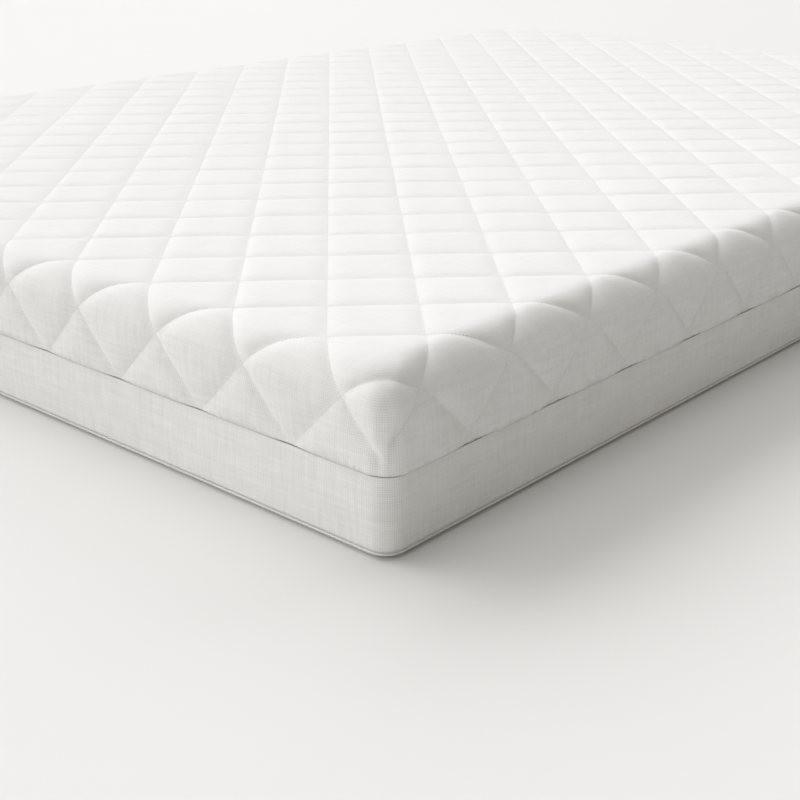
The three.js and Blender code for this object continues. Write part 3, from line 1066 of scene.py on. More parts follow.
@dataclass(frozen=True)
class Lattice:
    """The quilting: two sets of parallel stitch lines that cross in diamonds."""

    across: float = 115.0 * MM
    along: float = 118.7 * MM
    crossing_x: float = 591.0 * MM
    crossing_y: float = -954.6 * MM
    steps: int = 6
    crowd: float = 1.7

    @property
    def spacing(self) -> float:
        """Distance between neighbouring lines of one set."""
        return 1 / math.hypot(1 / self.across, 1 / self.along)

    def lines(self, u: np.ndarray, v: np.ndarray) -> tuple[np.ndarray, np.ndarray]:
        """Count lines of each set at flat places; a whole number is on a line."""
        along = (v - self.crossing_y) / self.along
        across = (u - self.crossing_x) / self.across
        return along - across, along + across

    def flat(self, p: np.ndarray, q: np.ndarray) -> tuple[np.ndarray, np.ndarray]:
        """Return the flat place where the sets' counts are p and q."""
        u = self.crossing_x + self.across * (q - p) / 2
        v = self.crossing_y + self.along * (p + q) / 2
        return u, v

    def lines_within(self, reach_u: float, reach_v: float, spare: int = 12) -> int:
        """Count the lines of one set from the middle to past a panel's corner."""
        return math.ceil(reach_u / self.across + reach_v / self.along) + spare

    def own_share(self, p: np.ndarray, q: np.ndarray) -> np.ndarray:
        """Return a number from 0 to 1 that looks random but stays the same for each diamond."""
        cell = np.floor(p) * 12.9898 + np.floor(q) * 78.233
        return np.mod(np.sin(cell) * 43758.5453, 1.0)

    def crowded(self, index: np.ndarray) -> np.ndarray:
        """Space mesh lines closer towards the stitch lines.

        Args:
            index: mesh lines counted from a stitch line, twice `steps` to a diamond.

        Returns:
            The counts of stitch lines at them.
        """
        cell = np.floor(index / (2 * self.steps))
        inside = index / (2 * self.steps) - cell
        from_line = 2 * np.minimum(inside, 1 - inside)
        pulled = from_line**self.crowd / 2
        return cell + np.where(inside <= 0.5, pulled, 1 - pulled)


# ---- Layers and seams -----------------------------------------------------


def lined_grid(u_lines: np.ndarray, v_lines: np.ndarray, name: str) -> bpy.types.Mesh:
    """Return a flat grid with its lines at given places across and along."""
    bm = bmesh.new()
    wide, long = len(u_lines) - 1, len(v_lines) - 1
    bmesh.ops.create_grid(bm, x_segments=wide, y_segments=long, size=1.0)
    mesh = as_mesh(bm, name)
    points = points_of(mesh)
    at_u = np.rint((points[:, 0] + 1) / 2 * wide).astype(int)
    at_v = np.rint((points[:, 1] + 1) / 2 * long).astype(int)
    move_points(mesh, np.stack([u_lines[at_u], v_lines[at_v], np.zeros(len(points))], axis=1))
    return mesh


def lines_across(middle: float, reach: float, coarse: float, fine: float) -> np.ndarray:
    """Space a grid's lines coarsely over the flat and finely over both edges."""
    inner = np.linspace(-middle, middle, max(2, round(2 * middle / coarse)) + 1)
    outer = np.linspace(middle, reach, max(2, round((reach - middle) / fine)) + 1)[1:]
    return np.concatenate([-outer[::-1], inner, outer])


def capped(form: Form, foot: float, name: str, coarse: float = 60 * MM) -> bpy.types.Mesh:
    """Cut plain flat cloth that covers a form's top and comes down its sides.

    Args:
        form: the form.
        foot: the height that the cloth comes down to.
        name: the mesh's name.
        coarse: the grid's step on the flat.

    Returns:
        The flat cloth.
    """
    drop = form.drop_to(foot)
    across = lines_across(form.middle_x, form.middle_x + drop, coarse, 5 * MM)
    along = lines_across(form.middle_y, form.middle_y + drop, coarse, 5 * MM)
    return lined_grid(across, along, name)


def band(
    form: Form,
    rows: Sequence[tuple[float, float]],
    name: str,
    step: float = 14 * MM,
    lift: Optional[Callable[[np.ndarray, np.ndarray], np.ndarray]] = None,
) -> bpy.types.Mesh:
    """Make a strip that runs right round a form.

    Args:
        form: the form.
        rows: depth inside the form and height, from the strip's upper edge to its lower one.
        name: the mesh's name.
        step: column width on the straights.
        lift: how far the strip stands proud, from the distance round and the height.

    Returns:
        The strip, with a true-size pattern laid along it.
    """
    columns = form.columns(step)
    section = np.array(rows)
    mesh = lined_grid(columns, np.arange(len(rows), dtype=float), name)
    flat = points_of(mesh)
    row = len(rows) - 1 - np.rint(flat[:, 1]).astype(int)
    round_it = flat[:, 0]
    down = np.concatenate([[0], np.cumsum(np.hypot(*np.diff(section, axis=0).T))])
    corners = corners_of(mesh)
    lay_uv(mesh, "cloth", np.stack([round_it[corners], -down[row][corners]], axis=1))
    places, normals = form.around(round_it)
    proud = lift(round_it, section[row, 1]) if lift else 0.0
    points = places + normals * (proud - section[row, 0])[:, None]
    points[:, 2] += section[row, 1]
    move_points(mesh, points)
    bm = bmesh.new()
    bm.from_mesh(mesh)
    bmesh.ops.remove_doubles(bm, verts=bm.verts, dist=1e-6)
    bm.to_mesh(mesh)
    bm.free()
    return mesh


def sew_round(
    form: Form,
    depth: float,
    height: float,
    name: str,
    body: str,
    slot: str,
    pitch: float = 3.2 * MM,
    thread: float = 0.5 * MM,
) -> None:
    """Run a line of stitches right round a form.

    Args:
        form: the form.
        depth: how far inside the form's face the stitches lie.
        height: their height.
        name: the piece's name.
        body: the body that it rides on.
        slot: the record's slot, kept on the piece; its finish is thread whatever the slot.
        pitch: the stitch length.
        thread: the thread's thickness.
    """
    walk = np.arange(0, form.girth, pitch)
    places, normals = form.around(walk)
    places = places - normals * depth
    places[:, 2] = height
    along = np.cross((0.0, 0.0, 1.0), normals)
    stitch = stitch_template(0.74 * pitch, thread)
    mesh = scatter(stitch, frames_from(places, along, normals), name)
    Piece(name, mesh, Finish.THREAD, body, slot=slot).place()


def sew_along(
    corners: Sequence[Sequence[float]], outward: Colour, name: str, body: str, slot: str
) -> None:
    """Run a line of stitches from point to point on a flat piece.

    Args:
        corners: the points.
        outward: the way that the piece faces.
        name: the stitching's name.
        body: the body that it rides on.
        slot: the record's slot, kept on the piece; its finish is thread whatever the slot.
    """
    pitch = 2.4 * MM
    frames = []
    for start, end in zip(corners, corners[1:]):
        run = np.subtract(end, start)
        length = float(np.linalg.norm(run))
        share = (np.arange(max(1, int(length / pitch))) + 0.5) * pitch / length
        places = np.array(start) + share[:, None] * run
        facing = np.tile(outward, (len(places), 1))
        frames.append(frames_from(places, np.tile(run, (len(places), 1)), facing))
    mesh = scatter(stitch_template(0.74 * pitch, 0.45 * MM), np.concatenate(frames), name)
    Piece(name, mesh, Finish.THREAD, body, slot=slot).place()


def cut_small(
    box: Sequence[Sequence[float]],
    lines: tuple[int, int],
    name: str,
    stand: Callable[[np.ndarray, np.ndarray], np.ndarray],
) -> bpy.types.Mesh:
    """Cut a small cloth that is sewn flat on the head side.

    Args:
        box: the lowest and highest corners of the part that it stands for.
        lines: how many mesh lines across and up.
        name: the mesh's name.
        stand: how far it stands out from the part's outer face, from X and Z.

    Returns:
        The cloth in its place, with a true-size pattern.
    """
    low, high = box
    across, up = (np.linspace(low[i], high[i], n) for i, n in zip((0, 2), lines))
    mesh = lined_grid(across, up, name)
    x, z, _ = points_of(mesh).T
    lay_uv(mesh, "cloth", np.stack([x, z], axis=1)[corners_of(mesh)])
    move_points(mesh, np.stack([x, high[1] + stand(x, z), z], axis=1))
    mesh.flip_normals()
    return mesh


def merged_copy(node: str) -> bmesh.types.BMesh:
    """Copy a hard part's mesh and merge its loose faces."""
    bm = bmesh.new()
    bm.from_mesh(bpy.data.objects[node].data)
    bmesh.ops.remove_doubles(bm, verts=bm.verts, dist=0.01 * MM)
    bmesh.ops.dissolve_limit(bm, angle_limit=0.02, verts=bm.verts, edges=bm.edges)
    return bm


def bare_mesh(bm: bmesh.types.BMesh, name: str) -> bpy.types.Mesh:
    """Turn a copy into a mesh with no materials yet."""
    mesh = as_mesh(bm, name)
    while mesh.materials:
        mesh.materials.pop()
    return mesh


def softened(node: str, name: str, finish: Finish, body: str, width: float) -> None:
    """Copy a hard part, merge its loose faces and round its edges.

    Args:
        node: the part's node.
        name: the piece's name.
        finish: its finish.
        body: the body that it rides on.
        width: how far the edges are rounded.
    """
    mesh = bare_mesh(merged_copy(node), name)
    Piece(name, mesh, finish, body, nodes=(node,), modifiers=[soften(width)]).place()


@dataclass
class ZipChain:
    """One half of the zip round the cover: its tape, its coil and what ends them."""

    form: Form
    half: str
    body: str
    slot_edge: float
    outer_edge: float
    open_from: float
    open_to: float
    tape_depth: float = 2.7 * MM
    tape_thickness: float = 0.8 * MM
    coil_depth: float = 4.1 * MM
    coil_reach: Span = (0.0, 3.0 * MM)
    pitch: float = 2.0 * MM

    def tape(self) -> None:
        """Weave the tape."""
        upward = 1 if self.outer_edge > self.slot_edge else -1
        top, bottom = max(self.slot_edge, self.outer_edge), min(self.slot_edge, self.outer_edge)
        heights = np.linspace(top, bottom, 6)
        rows = [(self.tape_depth, height) for height in heights]
        mesh = band(self.form, rows, f"{self.half}_tape")
        node = f"{self.half}_zip_tape"
        thickness = thicken(self.tape_thickness, 0.0)
        piece = soft(f"{self.half}_woven_tape", mesh, Finish.ZIP_TAPE, self.body, node, thickness)
        length = self.form.deeper(self.tape_depth).girth
        top - bottom
        line = self.slot_edge + upward * 7 * MM
        name = f"{self.half}_tape_stitches"
        depth = self.tape_depth - self.tape_thickness / 2
        sew_round(self.form, depth, line, name, self.body, "zip_tape")

    def tooth(self, upward: int) -> bpy.types.Mesh:
        """Shape one turn of the coil: legs, and a head that spreads at its tip.

        Args:
            upward: 1 where the teeth point down, -1 where they point up.

        Returns:
            The turn, X along the zip, Y up, Z outwards.
        """
        reach = self.coil_reach[1] - self.coil_reach[0]
        bm = bmesh.new()
        bmesh.ops.create_cube(bm, size=1.0)
        bmesh.ops.scale(bm, vec=(0.62 * self.pitch, 0.6 * reach, 2.0 * MM), verts=bm.verts)
        tip = [face for face in bm.faces if face.normal.y * upward < -0.9]
        out = bmesh.ops.extrude_discrete_faces(bm, faces=tip)["faces"]
        verts = list({vert for face in out for vert in face.verts})
        bmesh.ops.translate(bm, vec=(0, -upward * 0.2 * reach, 0), verts=verts)
        centre = Vector((0, sum(vert.co.y for vert in verts) / len(verts), 0))
        shift = Matrix.Translation(-centre)
        bmesh.ops.scale(bm, vec=(1.3, 1.0, 1.1), space=shift, verts=verts)
        out = bmesh.ops.extrude_discrete_faces(bm, faces=out)["faces"]
        verts = list({vert for face in out for vert in face.verts})
        bmesh.ops.translate(bm, vec=(0, -upward * 0.2 * reach, 0), verts=verts)
        bmesh.ops.scale(bm, vec=(0.6, 1.0, 0.7), space=shift, verts=verts)
        low = min(vert.co.y for vert in bm.verts)
        high = max(vert.co.y for vert in bm.verts)
        bmesh.ops.translate(bm, vec=(0, -(low + high) / 2, 0), verts=bm.verts)
        return as_mesh(bm, "tooth")

    def coil(self) -> None:
        """Wind the coil right round, but for where the zip ends meet."""
        upward = 1 if self.outer_edge > self.slot_edge else -1
        start = self.form.head_walk(self.open_from)
        end = self.form.head_walk(self.open_to) + self.form.girth
        count = int((end - start) / self.pitch)
        walk = start + (np.arange(count) + 0.5) * (end - start) / count
        places, normals = self.form.around(walk)
        places = places - normals * self.coil_depth
        reach = sum(self.coil_reach) / 2
        places[:, 2] = self.slot_edge + upward * reach
        along = np.cross((0.0, 0.0, 1.0), normals)
        name = f"{self.half}_coil_teeth"
        mesh = scatter(self.tooth(upward), frames_from(places, along, normals), name)
        node = f"{self.half}_zip_coil"
        Piece(name, mesh, Finish.ZIP_TEETH, self.body, smooth=False, nodes=(node,)).place()

    def build(self) -> None:
        """Build the tape, the coil and its end stop."""
        self.coil()
        self.tape()
        stop = f"{self.half}_zip_end_stop"
        softened(stop, f"{self.half}_stop", Finish.ZIP_TEETH, self.body, 0.4 * MM)


# ---- Sub-assemblies -------------------------------------------------------


@dataclass
class QuiltedCover:
    """The upper cover: quilted ticking with its stitching, wadding and backing."""

    form: Form
    lattice: Lattice
    hem: float
    inner_hem: float
    backing_depth: float
    puff_top: float = 1.9 * MM
    puff_side: float = 4.4 * MM
    valley_top: float = -3.0 * MM
    valley_side: float = -1.4 * MM
    loft: float = 6.0 * MM
    loft_side: float = 0.2
    needle: float = 0.8 * MM
    turn: float = 2.2 * MM
    slope: float = 4.2 * MM
    variety: float = 0.16
    wander: float = 0.6 * MM
    unevenness: float = 0.3 * MM
    arch_height: float = 0.8
    arch_drops: Span = (68 * MM, 86 * MM)
    corner_cut: float = 0.4
    corner_reach: float = 118 * MM
    cloth: float = 1.2 * MM
    backing: float = 0.9 * MM
    stitch: float = 3.4 * MM
    body: str = "top_cover"

    def reaches(self, foot: float) -> tuple[float, float]:
        """Half the flat cloth's size across and along, cut to a height."""
        drop = self.form.drop_to(foot)
        return self.form.middle_x + drop, self.form.middle_y + drop

    def flat_panel(self, lattice: Lattice, foot: float, name: str) -> bpy.types.Mesh:
        """Cut flat cloth from a sheet whose mesh follows the stitch lines.

        Args:
            lattice: the stitch lines, with how finely they are followed.
            foot: the height that the cloth comes down to.
            name: the mesh's name.

        Returns:
            The cloth, flat, X and Y its places across and along.
        """
        reach_u, reach_v = self.reaches(foot)
        segments = 4 * lattice.lines_within(reach_u, reach_v) * lattice.steps
        index = np.arange(segments + 1) - segments / 2
        shift = np.rint(np.array(lattice.lines(np.zeros(1), np.zeros(1))).ravel())
        counts = lattice.crowded(index)
        mesh = lined_grid(counts + shift[0], counts + shift[1], name)
        points = points_of(mesh)
        u, v = lattice.flat(points[:, 0], points[:, 1])
        move_points(mesh, np.stack([u, v, np.zeros_like(u)], axis=1))
        bm = bmesh.new()
        bm.from_mesh(mesh)
        bpy.data.meshes.remove(mesh)
        margin = 2 * lattice.spacing
        far_u, far_v = reach_u + margin, reach_v + margin
        outside = [v for v in bm.verts if abs(v.co.x) > far_u or abs(v.co.y) > far_v]
        bmesh.ops.delete(bm, geom=outside, context="VERTS")
        for axis, reach in ((Vector((1, 0, 0)), reach_u), (Vector((0, 1, 0)), reach_v)):
            for direction in (axis, -axis):
                bmesh.ops.bisect_plane(
                    bm,
                    geom=bm.verts[:] + bm.edges[:] + bm.faces[:],
                    dist=1e-6,
                    plane_co=direction * reach,
                    plane_no=direction,
                    clear_outer=True,
                )
        corner_x, corner_y = reach_u - self.corner_reach, reach_v - self.corner_reach
        tight = [
            edge
            for edge in bm.edges
            if all(abs(v.co.x) > corner_x and abs(v.co.y) > corner_y for v in edge.verts)
        ]
        bmesh.ops.subdivide_edges(bm, edges=tight, cuts=2, use_grid_fill=True)
        if sum(face.normal.z for face in bm.faces) < 0:
            bmesh.ops.reverse_faces(bm, faces=bm.faces)
        return as_mesh(bm, name)

    def relief(self, u: np.ndarray, v: np.ndarray, short: np.ndarray) -> np.ndarray:
        """Height of the cloth over the form.

        Args:
            u: the pattern's place across.
            v: the pattern's place along.
            short: how far short of a corner's middle.

        Returns:
            The height along the form's normal.
        """
        past_u, past_v = np.abs(u) - self.form.middle_x, np.abs(v) - self.form.middle_y
        drop = np.maximum(past_u, past_v)
        angle, _, _, _ = self.form.level(np.maximum(drop, 0))
        wander = self.wander * ripple(waves(5, 9, 0.5, 0.12), u, v)
        p, q = self.lattice.lines(u + wander, v - wander)
        lean = np.sin(angle) ** 1.3
        valley = self.valley_top * (1 - lean) + self.valley_side * lean
        puff = self.puff_top * (1 - lean) + self.puff_side * lean
        loft = self.loft * (1 + self.loft_side * lean)
        corner = (past_u > 0) & (past_v > 0)
        apart = np.where(corner, step_up(short, 0, 9 * MM), 1.0)
        near = (1 - apart) * step_up(drop, *self.arch_drops)
        height = np.ones_like(u)
        for count in (p, q):
            away = np.abs(count - np.rint(count)) * self.lattice.spacing
            away = np.sqrt(away**2 + self.needle**2) - self.needle
            height *= 1 - np.exp(-away / loft)
        own = self.lattice.own_share(p, q) - 0.5
        height *= 1 + own * self.variety * step_up(height, 0.0, 1.0) * apart
        height += (self.arch_height - height) * near
        left = self.form.drop_to(self.hem) - drop
        uneven = ripple(waves(11, 14, 0.4, 0.06), u, v) * (0.3 + 0.7 * height)
        uneven *= self.unevenness * apart
        turned = 1 - np.clip(1 - left / self.turn, 0, 1) ** 2.5
        sides = np.where(past_u > past_v, 0.5, -0.5) * step_up(short, 0, 40 * MM) + 0.5
        sloped = self.slope * np.sin(2 * angle) * sides
        proud = valley + puff * height + uneven - sloped
        lip = 0.45 * proud + 0.8 * MM
        return lip + (proud - lip) * turned

    def ticking(self) -> None:
        """Quilt the ticking."""
        mesh = self.flat_panel(self.lattice, self.hem, "quilted_ticking")
        self.form.dress(mesh, self.relief)
        finish, node = Finish.QUILTED_TICKING, "top_quilted_ticking"
        piece = soft("quilted_ticking", mesh, finish, self.body, node, thicken(self.cloth))

    def wadding(self) -> None:
        """Fill the quilting with wadding that the stitches pull thin."""
        coarse = replace(self.lattice, steps=3)
        mesh = self.flat_panel(coarse, self.inner_hem, "quilt_wadding")
        gap = self.cloth + 0.3 * MM
        under = self.form.dress(mesh, lambda u, v, short: self.relief(u, v, short) - gap)
        modifier = fill_out(self.backing_depth - 0.3 * MM + under)
        finish, node = Finish.WADDING, "top_wadding"
        piece = soft("quilt_wadding", mesh, finish, self.body, node, modifier)

    def lining(self) -> None:
        """Back the wadding with scrim."""
        mesh = capped(self.form, self.inner_hem, "backing_scrim", 30 * MM)
        self.form.dress(mesh, -self.backing_depth)
        finish, node = Finish.SCRIM, "top_backing_scrim"
        piece = soft("backing_scrim", mesh, finish, self.body, node, thicken(self.backing))
        inner = self.form.deeper(self.backing_depth)
        drop = inner.drop_to(self.inner_hem)
        flat = (2 * (inner.middle_x + drop), 2 * (inner.middle_y + drop))
        area = flat[0] * flat[1] - 4 * self.corner_cut * drop**2

    def stitches(self) -> None:
        """Sew both sets of lines, one piece for each."""
        reach_u, reach_v = self.reaches(self.hem)
        cells = self.lattice.lines_within(reach_u, reach_v)
        run = np.arange(-cells, cells, self.stitch / self.lattice.spacing)
        ahead = 0.2 * MM / self.lattice.spacing
        template = (0.62 * self.stitch, 0.5 * MM)
        for name, first in (("stitching_one_way", True), ("stitching_other_way", False)):
            frames = []
            for line in range(-cells, cells + 1):
                fixed = np.full_like(run, line)
                u, v = self.lattice.flat(*((fixed, run) if first else (run, fixed)))
                inside = (np.abs(u) < reach_u - 4 * MM) & (np.abs(v) < reach_v - 4 * MM)
                if not inside.any():
                    continue
                here, normal, short = self.stood(u[inside], v[inside])
                step = (fixed, run + ahead) if first else (run + ahead, fixed)
                u2, v2 = self.lattice.flat(*step)
                there, _, _ = self.stood(u2[inside], v2[inside])
                direction = there - here
                good = (np.linalg.norm(direction, axis=1) > 0.05 * MM) & (short > 0)
                frames.append(frames_from(here[good], direction[good], normal[good]))
            mesh = scatter(stitch_template(*template), np.concatenate(frames), name)
            Piece(name, mesh, Finish.THREAD, self.body, slot="quilted_ticking").place()

    def stood(self, u: np.ndarray, v: np.ndarray) -> tuple[np.ndarray, np.ndarray, np.ndarray]:
        """Find where stitches lie on the quilted cloth.

        Args:
            u: the pattern's place across.
            v: the pattern's place along.

        Returns:
            Points just above the cloth, the form's normals, and how far short of a corner's
            middle they are, which is below 0 where the cloth is cut away.
        """
        points, normals, _, short = self.form.wrap(u, v, gathered=False)
        inside = (np.abs(u) > self.form.middle_x) & (np.abs(v) > self.form.middle_y)
        short = np.where(inside, short, np.abs(short))
        lift = self.relief(u, v, np.maximum(short, 0)) + 0.02 * MM
        return points + normals * lift[:, None], normals, short

    def build(self) -> None:
        """Build every layer, outermost first."""
        self.ticking()
        self.stitches()
        self.wadding()
        self.lining()
        softened("zip_insertion_pin", "insertion_pin", Finish.ZIP_TEETH, self.body, 0.25 * MM)


@dataclass
class LowerCover:
    """The lower cover: plain border, padding, bottom cloth and the trim on them."""

    form: Form
    hem: float
    border_foot: float
    binding: Span
    padding: Span
    bottom_rim: float
    edge_radius: float = 5 * MM
    cloth: float = 1.2 * MM
    crown: float = 0.9 * MM
    unevenness: float = 0.35 * MM
    lip: float = 0.3 * MM
    binding_width: float = 10.1 * MM
    binding_seen: float = 4.5 * MM
    body: str = "mattress_base"

    def tuck(self, z: float) -> float:
        """How far in the lower edge has curved at a height."""
        short = max(self.edge_radius - z, 0.0)
        return self.edge_radius - math.sqrt(self.edge_radius**2 - short**2)

    def swell(self, walk: np.ndarray, z: np.ndarray) -> np.ndarray:
        """How far the border stands proud.

        Args:
            walk: the distance round.
            z: the height.

        Returns:
            A low crown with slight unevenness, which dies away where the strip's ends meet.
        """
        share = np.clip((z - self.border_foot) / (self.hem - self.border_foot), 0, 1)
        arch = np.sin(math.pi * share) ** 1.2
        from_ends = np.minimum(walk, walk.max() - walk)
        uneven = ripple(waves(23, 10, 0.9, 0.1), walk, 3 * z) * step_up(from_ends, 0, 200 * MM)
        return arch * (self.crown + self.unevenness * uneven)

    def border(self) -> None:
        """Stretch the plain border round."""
        turned = [(3.0, -6.0), (1.6, -1.2), (1.0, -0.25), (0.5, 0.0), (0.12, -0.4), (0, -1.2)]
        rows = [(depth * MM, self.hem + self.lip + drop * MM) for depth, drop in turned]
        rows += [(0.0, z) for z in np.linspace(self.hem - 4 * MM, self.edge_radius, 16)]
        curve = np.linspace(self.edge_radius, self.border_foot - 0.25 * MM, 4)[1:]
        rows += [(self.tuck(z), z) for z in curve]
        mesh = band(self.form, rows, "border_ticking", lift=self.swell)
        finish, node = Finish.PLAIN_TICKING, "lower_border_ticking"
        piece = soft("border_ticking", mesh, finish, self.body, node, thicken(0.8 * self.cloth))
        height = self.hem - self.border_foot + 8 * MM
        flat = (height, self.form.girth)

    def pad(self) -> None:
        """Pad behind the border."""
        low, high = self.padding
        heights = np.linspace(high, low, 12)
        rows = [(2.0 * MM + self.tuck(z), z) for z in heights]
        mesh = band(self.form, rows, "border_padding", 24 * MM)
        finish, node = Finish.WADDING, "lower_border_padding"
        piece = soft("border_padding", mesh, finish, self.body, node, thicken(6.6 * MM))

    def bottom(self) -> None:
        """Lay the bottom cloth and turn its rim up to the binding."""
        under = replace(self.form, top=0.0, roll=self.edge_radius, softening=0.0)
        mesh = capped(under, -self.bottom_rim, "bottom_cloth")
        under.dress(mesh, 0.0, under=True)
        finish, node = Finish.BOTTOM_CLOTH, "bottom_panel"
        piece = soft("bottom_cloth", mesh, finish, self.body, node, thicken(self.cloth))
        drop = under.drop_to(-self.bottom_rim)
        flat_size = (2 * (under.middle_x + drop), 2 * (under.middle_y + drop))

    def bind(self) -> None:
        """Run a bound edge round the bottom seam, with its stitches."""
        low, high = self.binding
        middle, half = (low + high) / 2, (high - low) / 2
        turns = np.linspace(math.pi, -math.pi, 9)
        rows = [
            (self.tuck(z) + 0.1 * MM - 0.2 * MM * math.cos(t), z)
            for t, z in zip(turns, middle - half * np.cos(turns / 2 + math.pi / 2))
        ]
        rows = [(self.tuck(high) + 1.2 * MM, high), *rows, (self.tuck(low) + 1.2 * MM, low)]
        mesh = band(self.form, rows, "edge_binding", 20 * MM)
        finish, node = Finish.BINDING, "bottom_edge_binding"
        piece = soft("edge_binding", mesh, finish, self.body, node, thicken(0.3 * MM))
        length = self.form.girth
        flat, area = (self.binding_width, length), self.binding_seen * length
        height = high + 1.6 * MM
        depth = self.tuck(height) + 0.1 * MM
        sew_round(
            self.form, depth, height, "binding_stitches", self.body, "binding", thread=0.3 * MM
        )

    def patch(self) -> None:
        """Sew a patch over the zip's ends."""
        low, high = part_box("zip_end_patch")

        def stand(x: np.ndarray, z: np.ndarray) -> np.ndarray:
            """Swell between the patch's sewn edges."""
            from_sides = np.minimum(x - low[0], high[0] - x)
            edge = np.minimum(from_sides, np.minimum(z - low[2], high[2] - z))
            swell = 0.9 * MM * step_up(edge, 0, 7 * MM) * (0.8 + 0.2 * np.sin(x * 300))
            return swell - 0.1 * MM

        mesh = cut_small((low, high), (19, 13), "end_patch", stand)
        finish, node = Finish.PLAIN_TICKING, "zip_end_patch"
        piece = soft("end_patch", mesh, finish, self.body, node, thicken(0.6 * MM))
        inset, face = 2 * MM, high[1] + 0.25 * MM
        loop = [
            (low[0] + inset, face, low[2] + inset),
            (high[0] - inset, face, low[2] + inset),
            (high[0] - inset, face, high[2] - inset),
            (low[0] + inset, face, high[2] - inset),
            (low[0] + inset, face, low[2] + inset),
        ]
        sew_along(loop, (0, 1, 0), "patch_stitches", self.body, "plain_ticking")

    def label(self) -> None:
        """Sew a blank care label on, its free edge lifting a little."""
        low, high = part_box("care_label")

        def stand(x: np.ndarray, z: np.ndarray) -> np.ndarray:
            """Lift towards the label's free lower edge, unevenly."""
            share = (high[2] - z) / (high[2] - low[2])
            sway = np.sin((x - low[0]) / (high[0] - low[0]) * 5.0 + 0.6)
            return 1.6 * MM * share**2 * (0.7 + 0.3 * sway) + 0.15 * MM

        mesh = cut_small((low, high), (21, 15), "blank_label", stand)
        finish, node = Finish.LABEL_SATIN, "care_label"
        piece = soft("blank_label", mesh, finish, self.body, node, thicken(0.35 * MM))
        face, top = high[1] + 0.3 * MM, high[2] - 2.5 * MM
        ends = [(low[0] + 2 * MM, face, top), (high[0] - 2 * MM, face, top)]
        sew_along(ends, (0, 1, 0), "label_stitches", self.body, "label_satin")

    def build(self) -> None:
        """Build every part of the lower cover."""
        self.border()
        self.pad()
        self.bottom()
        self.bind()
        self.patch()
        self.label()
        softened("zip_retainer_box", "retainer_box", Finish.ZIP_TEETH, self.body, 0.3 * MM)


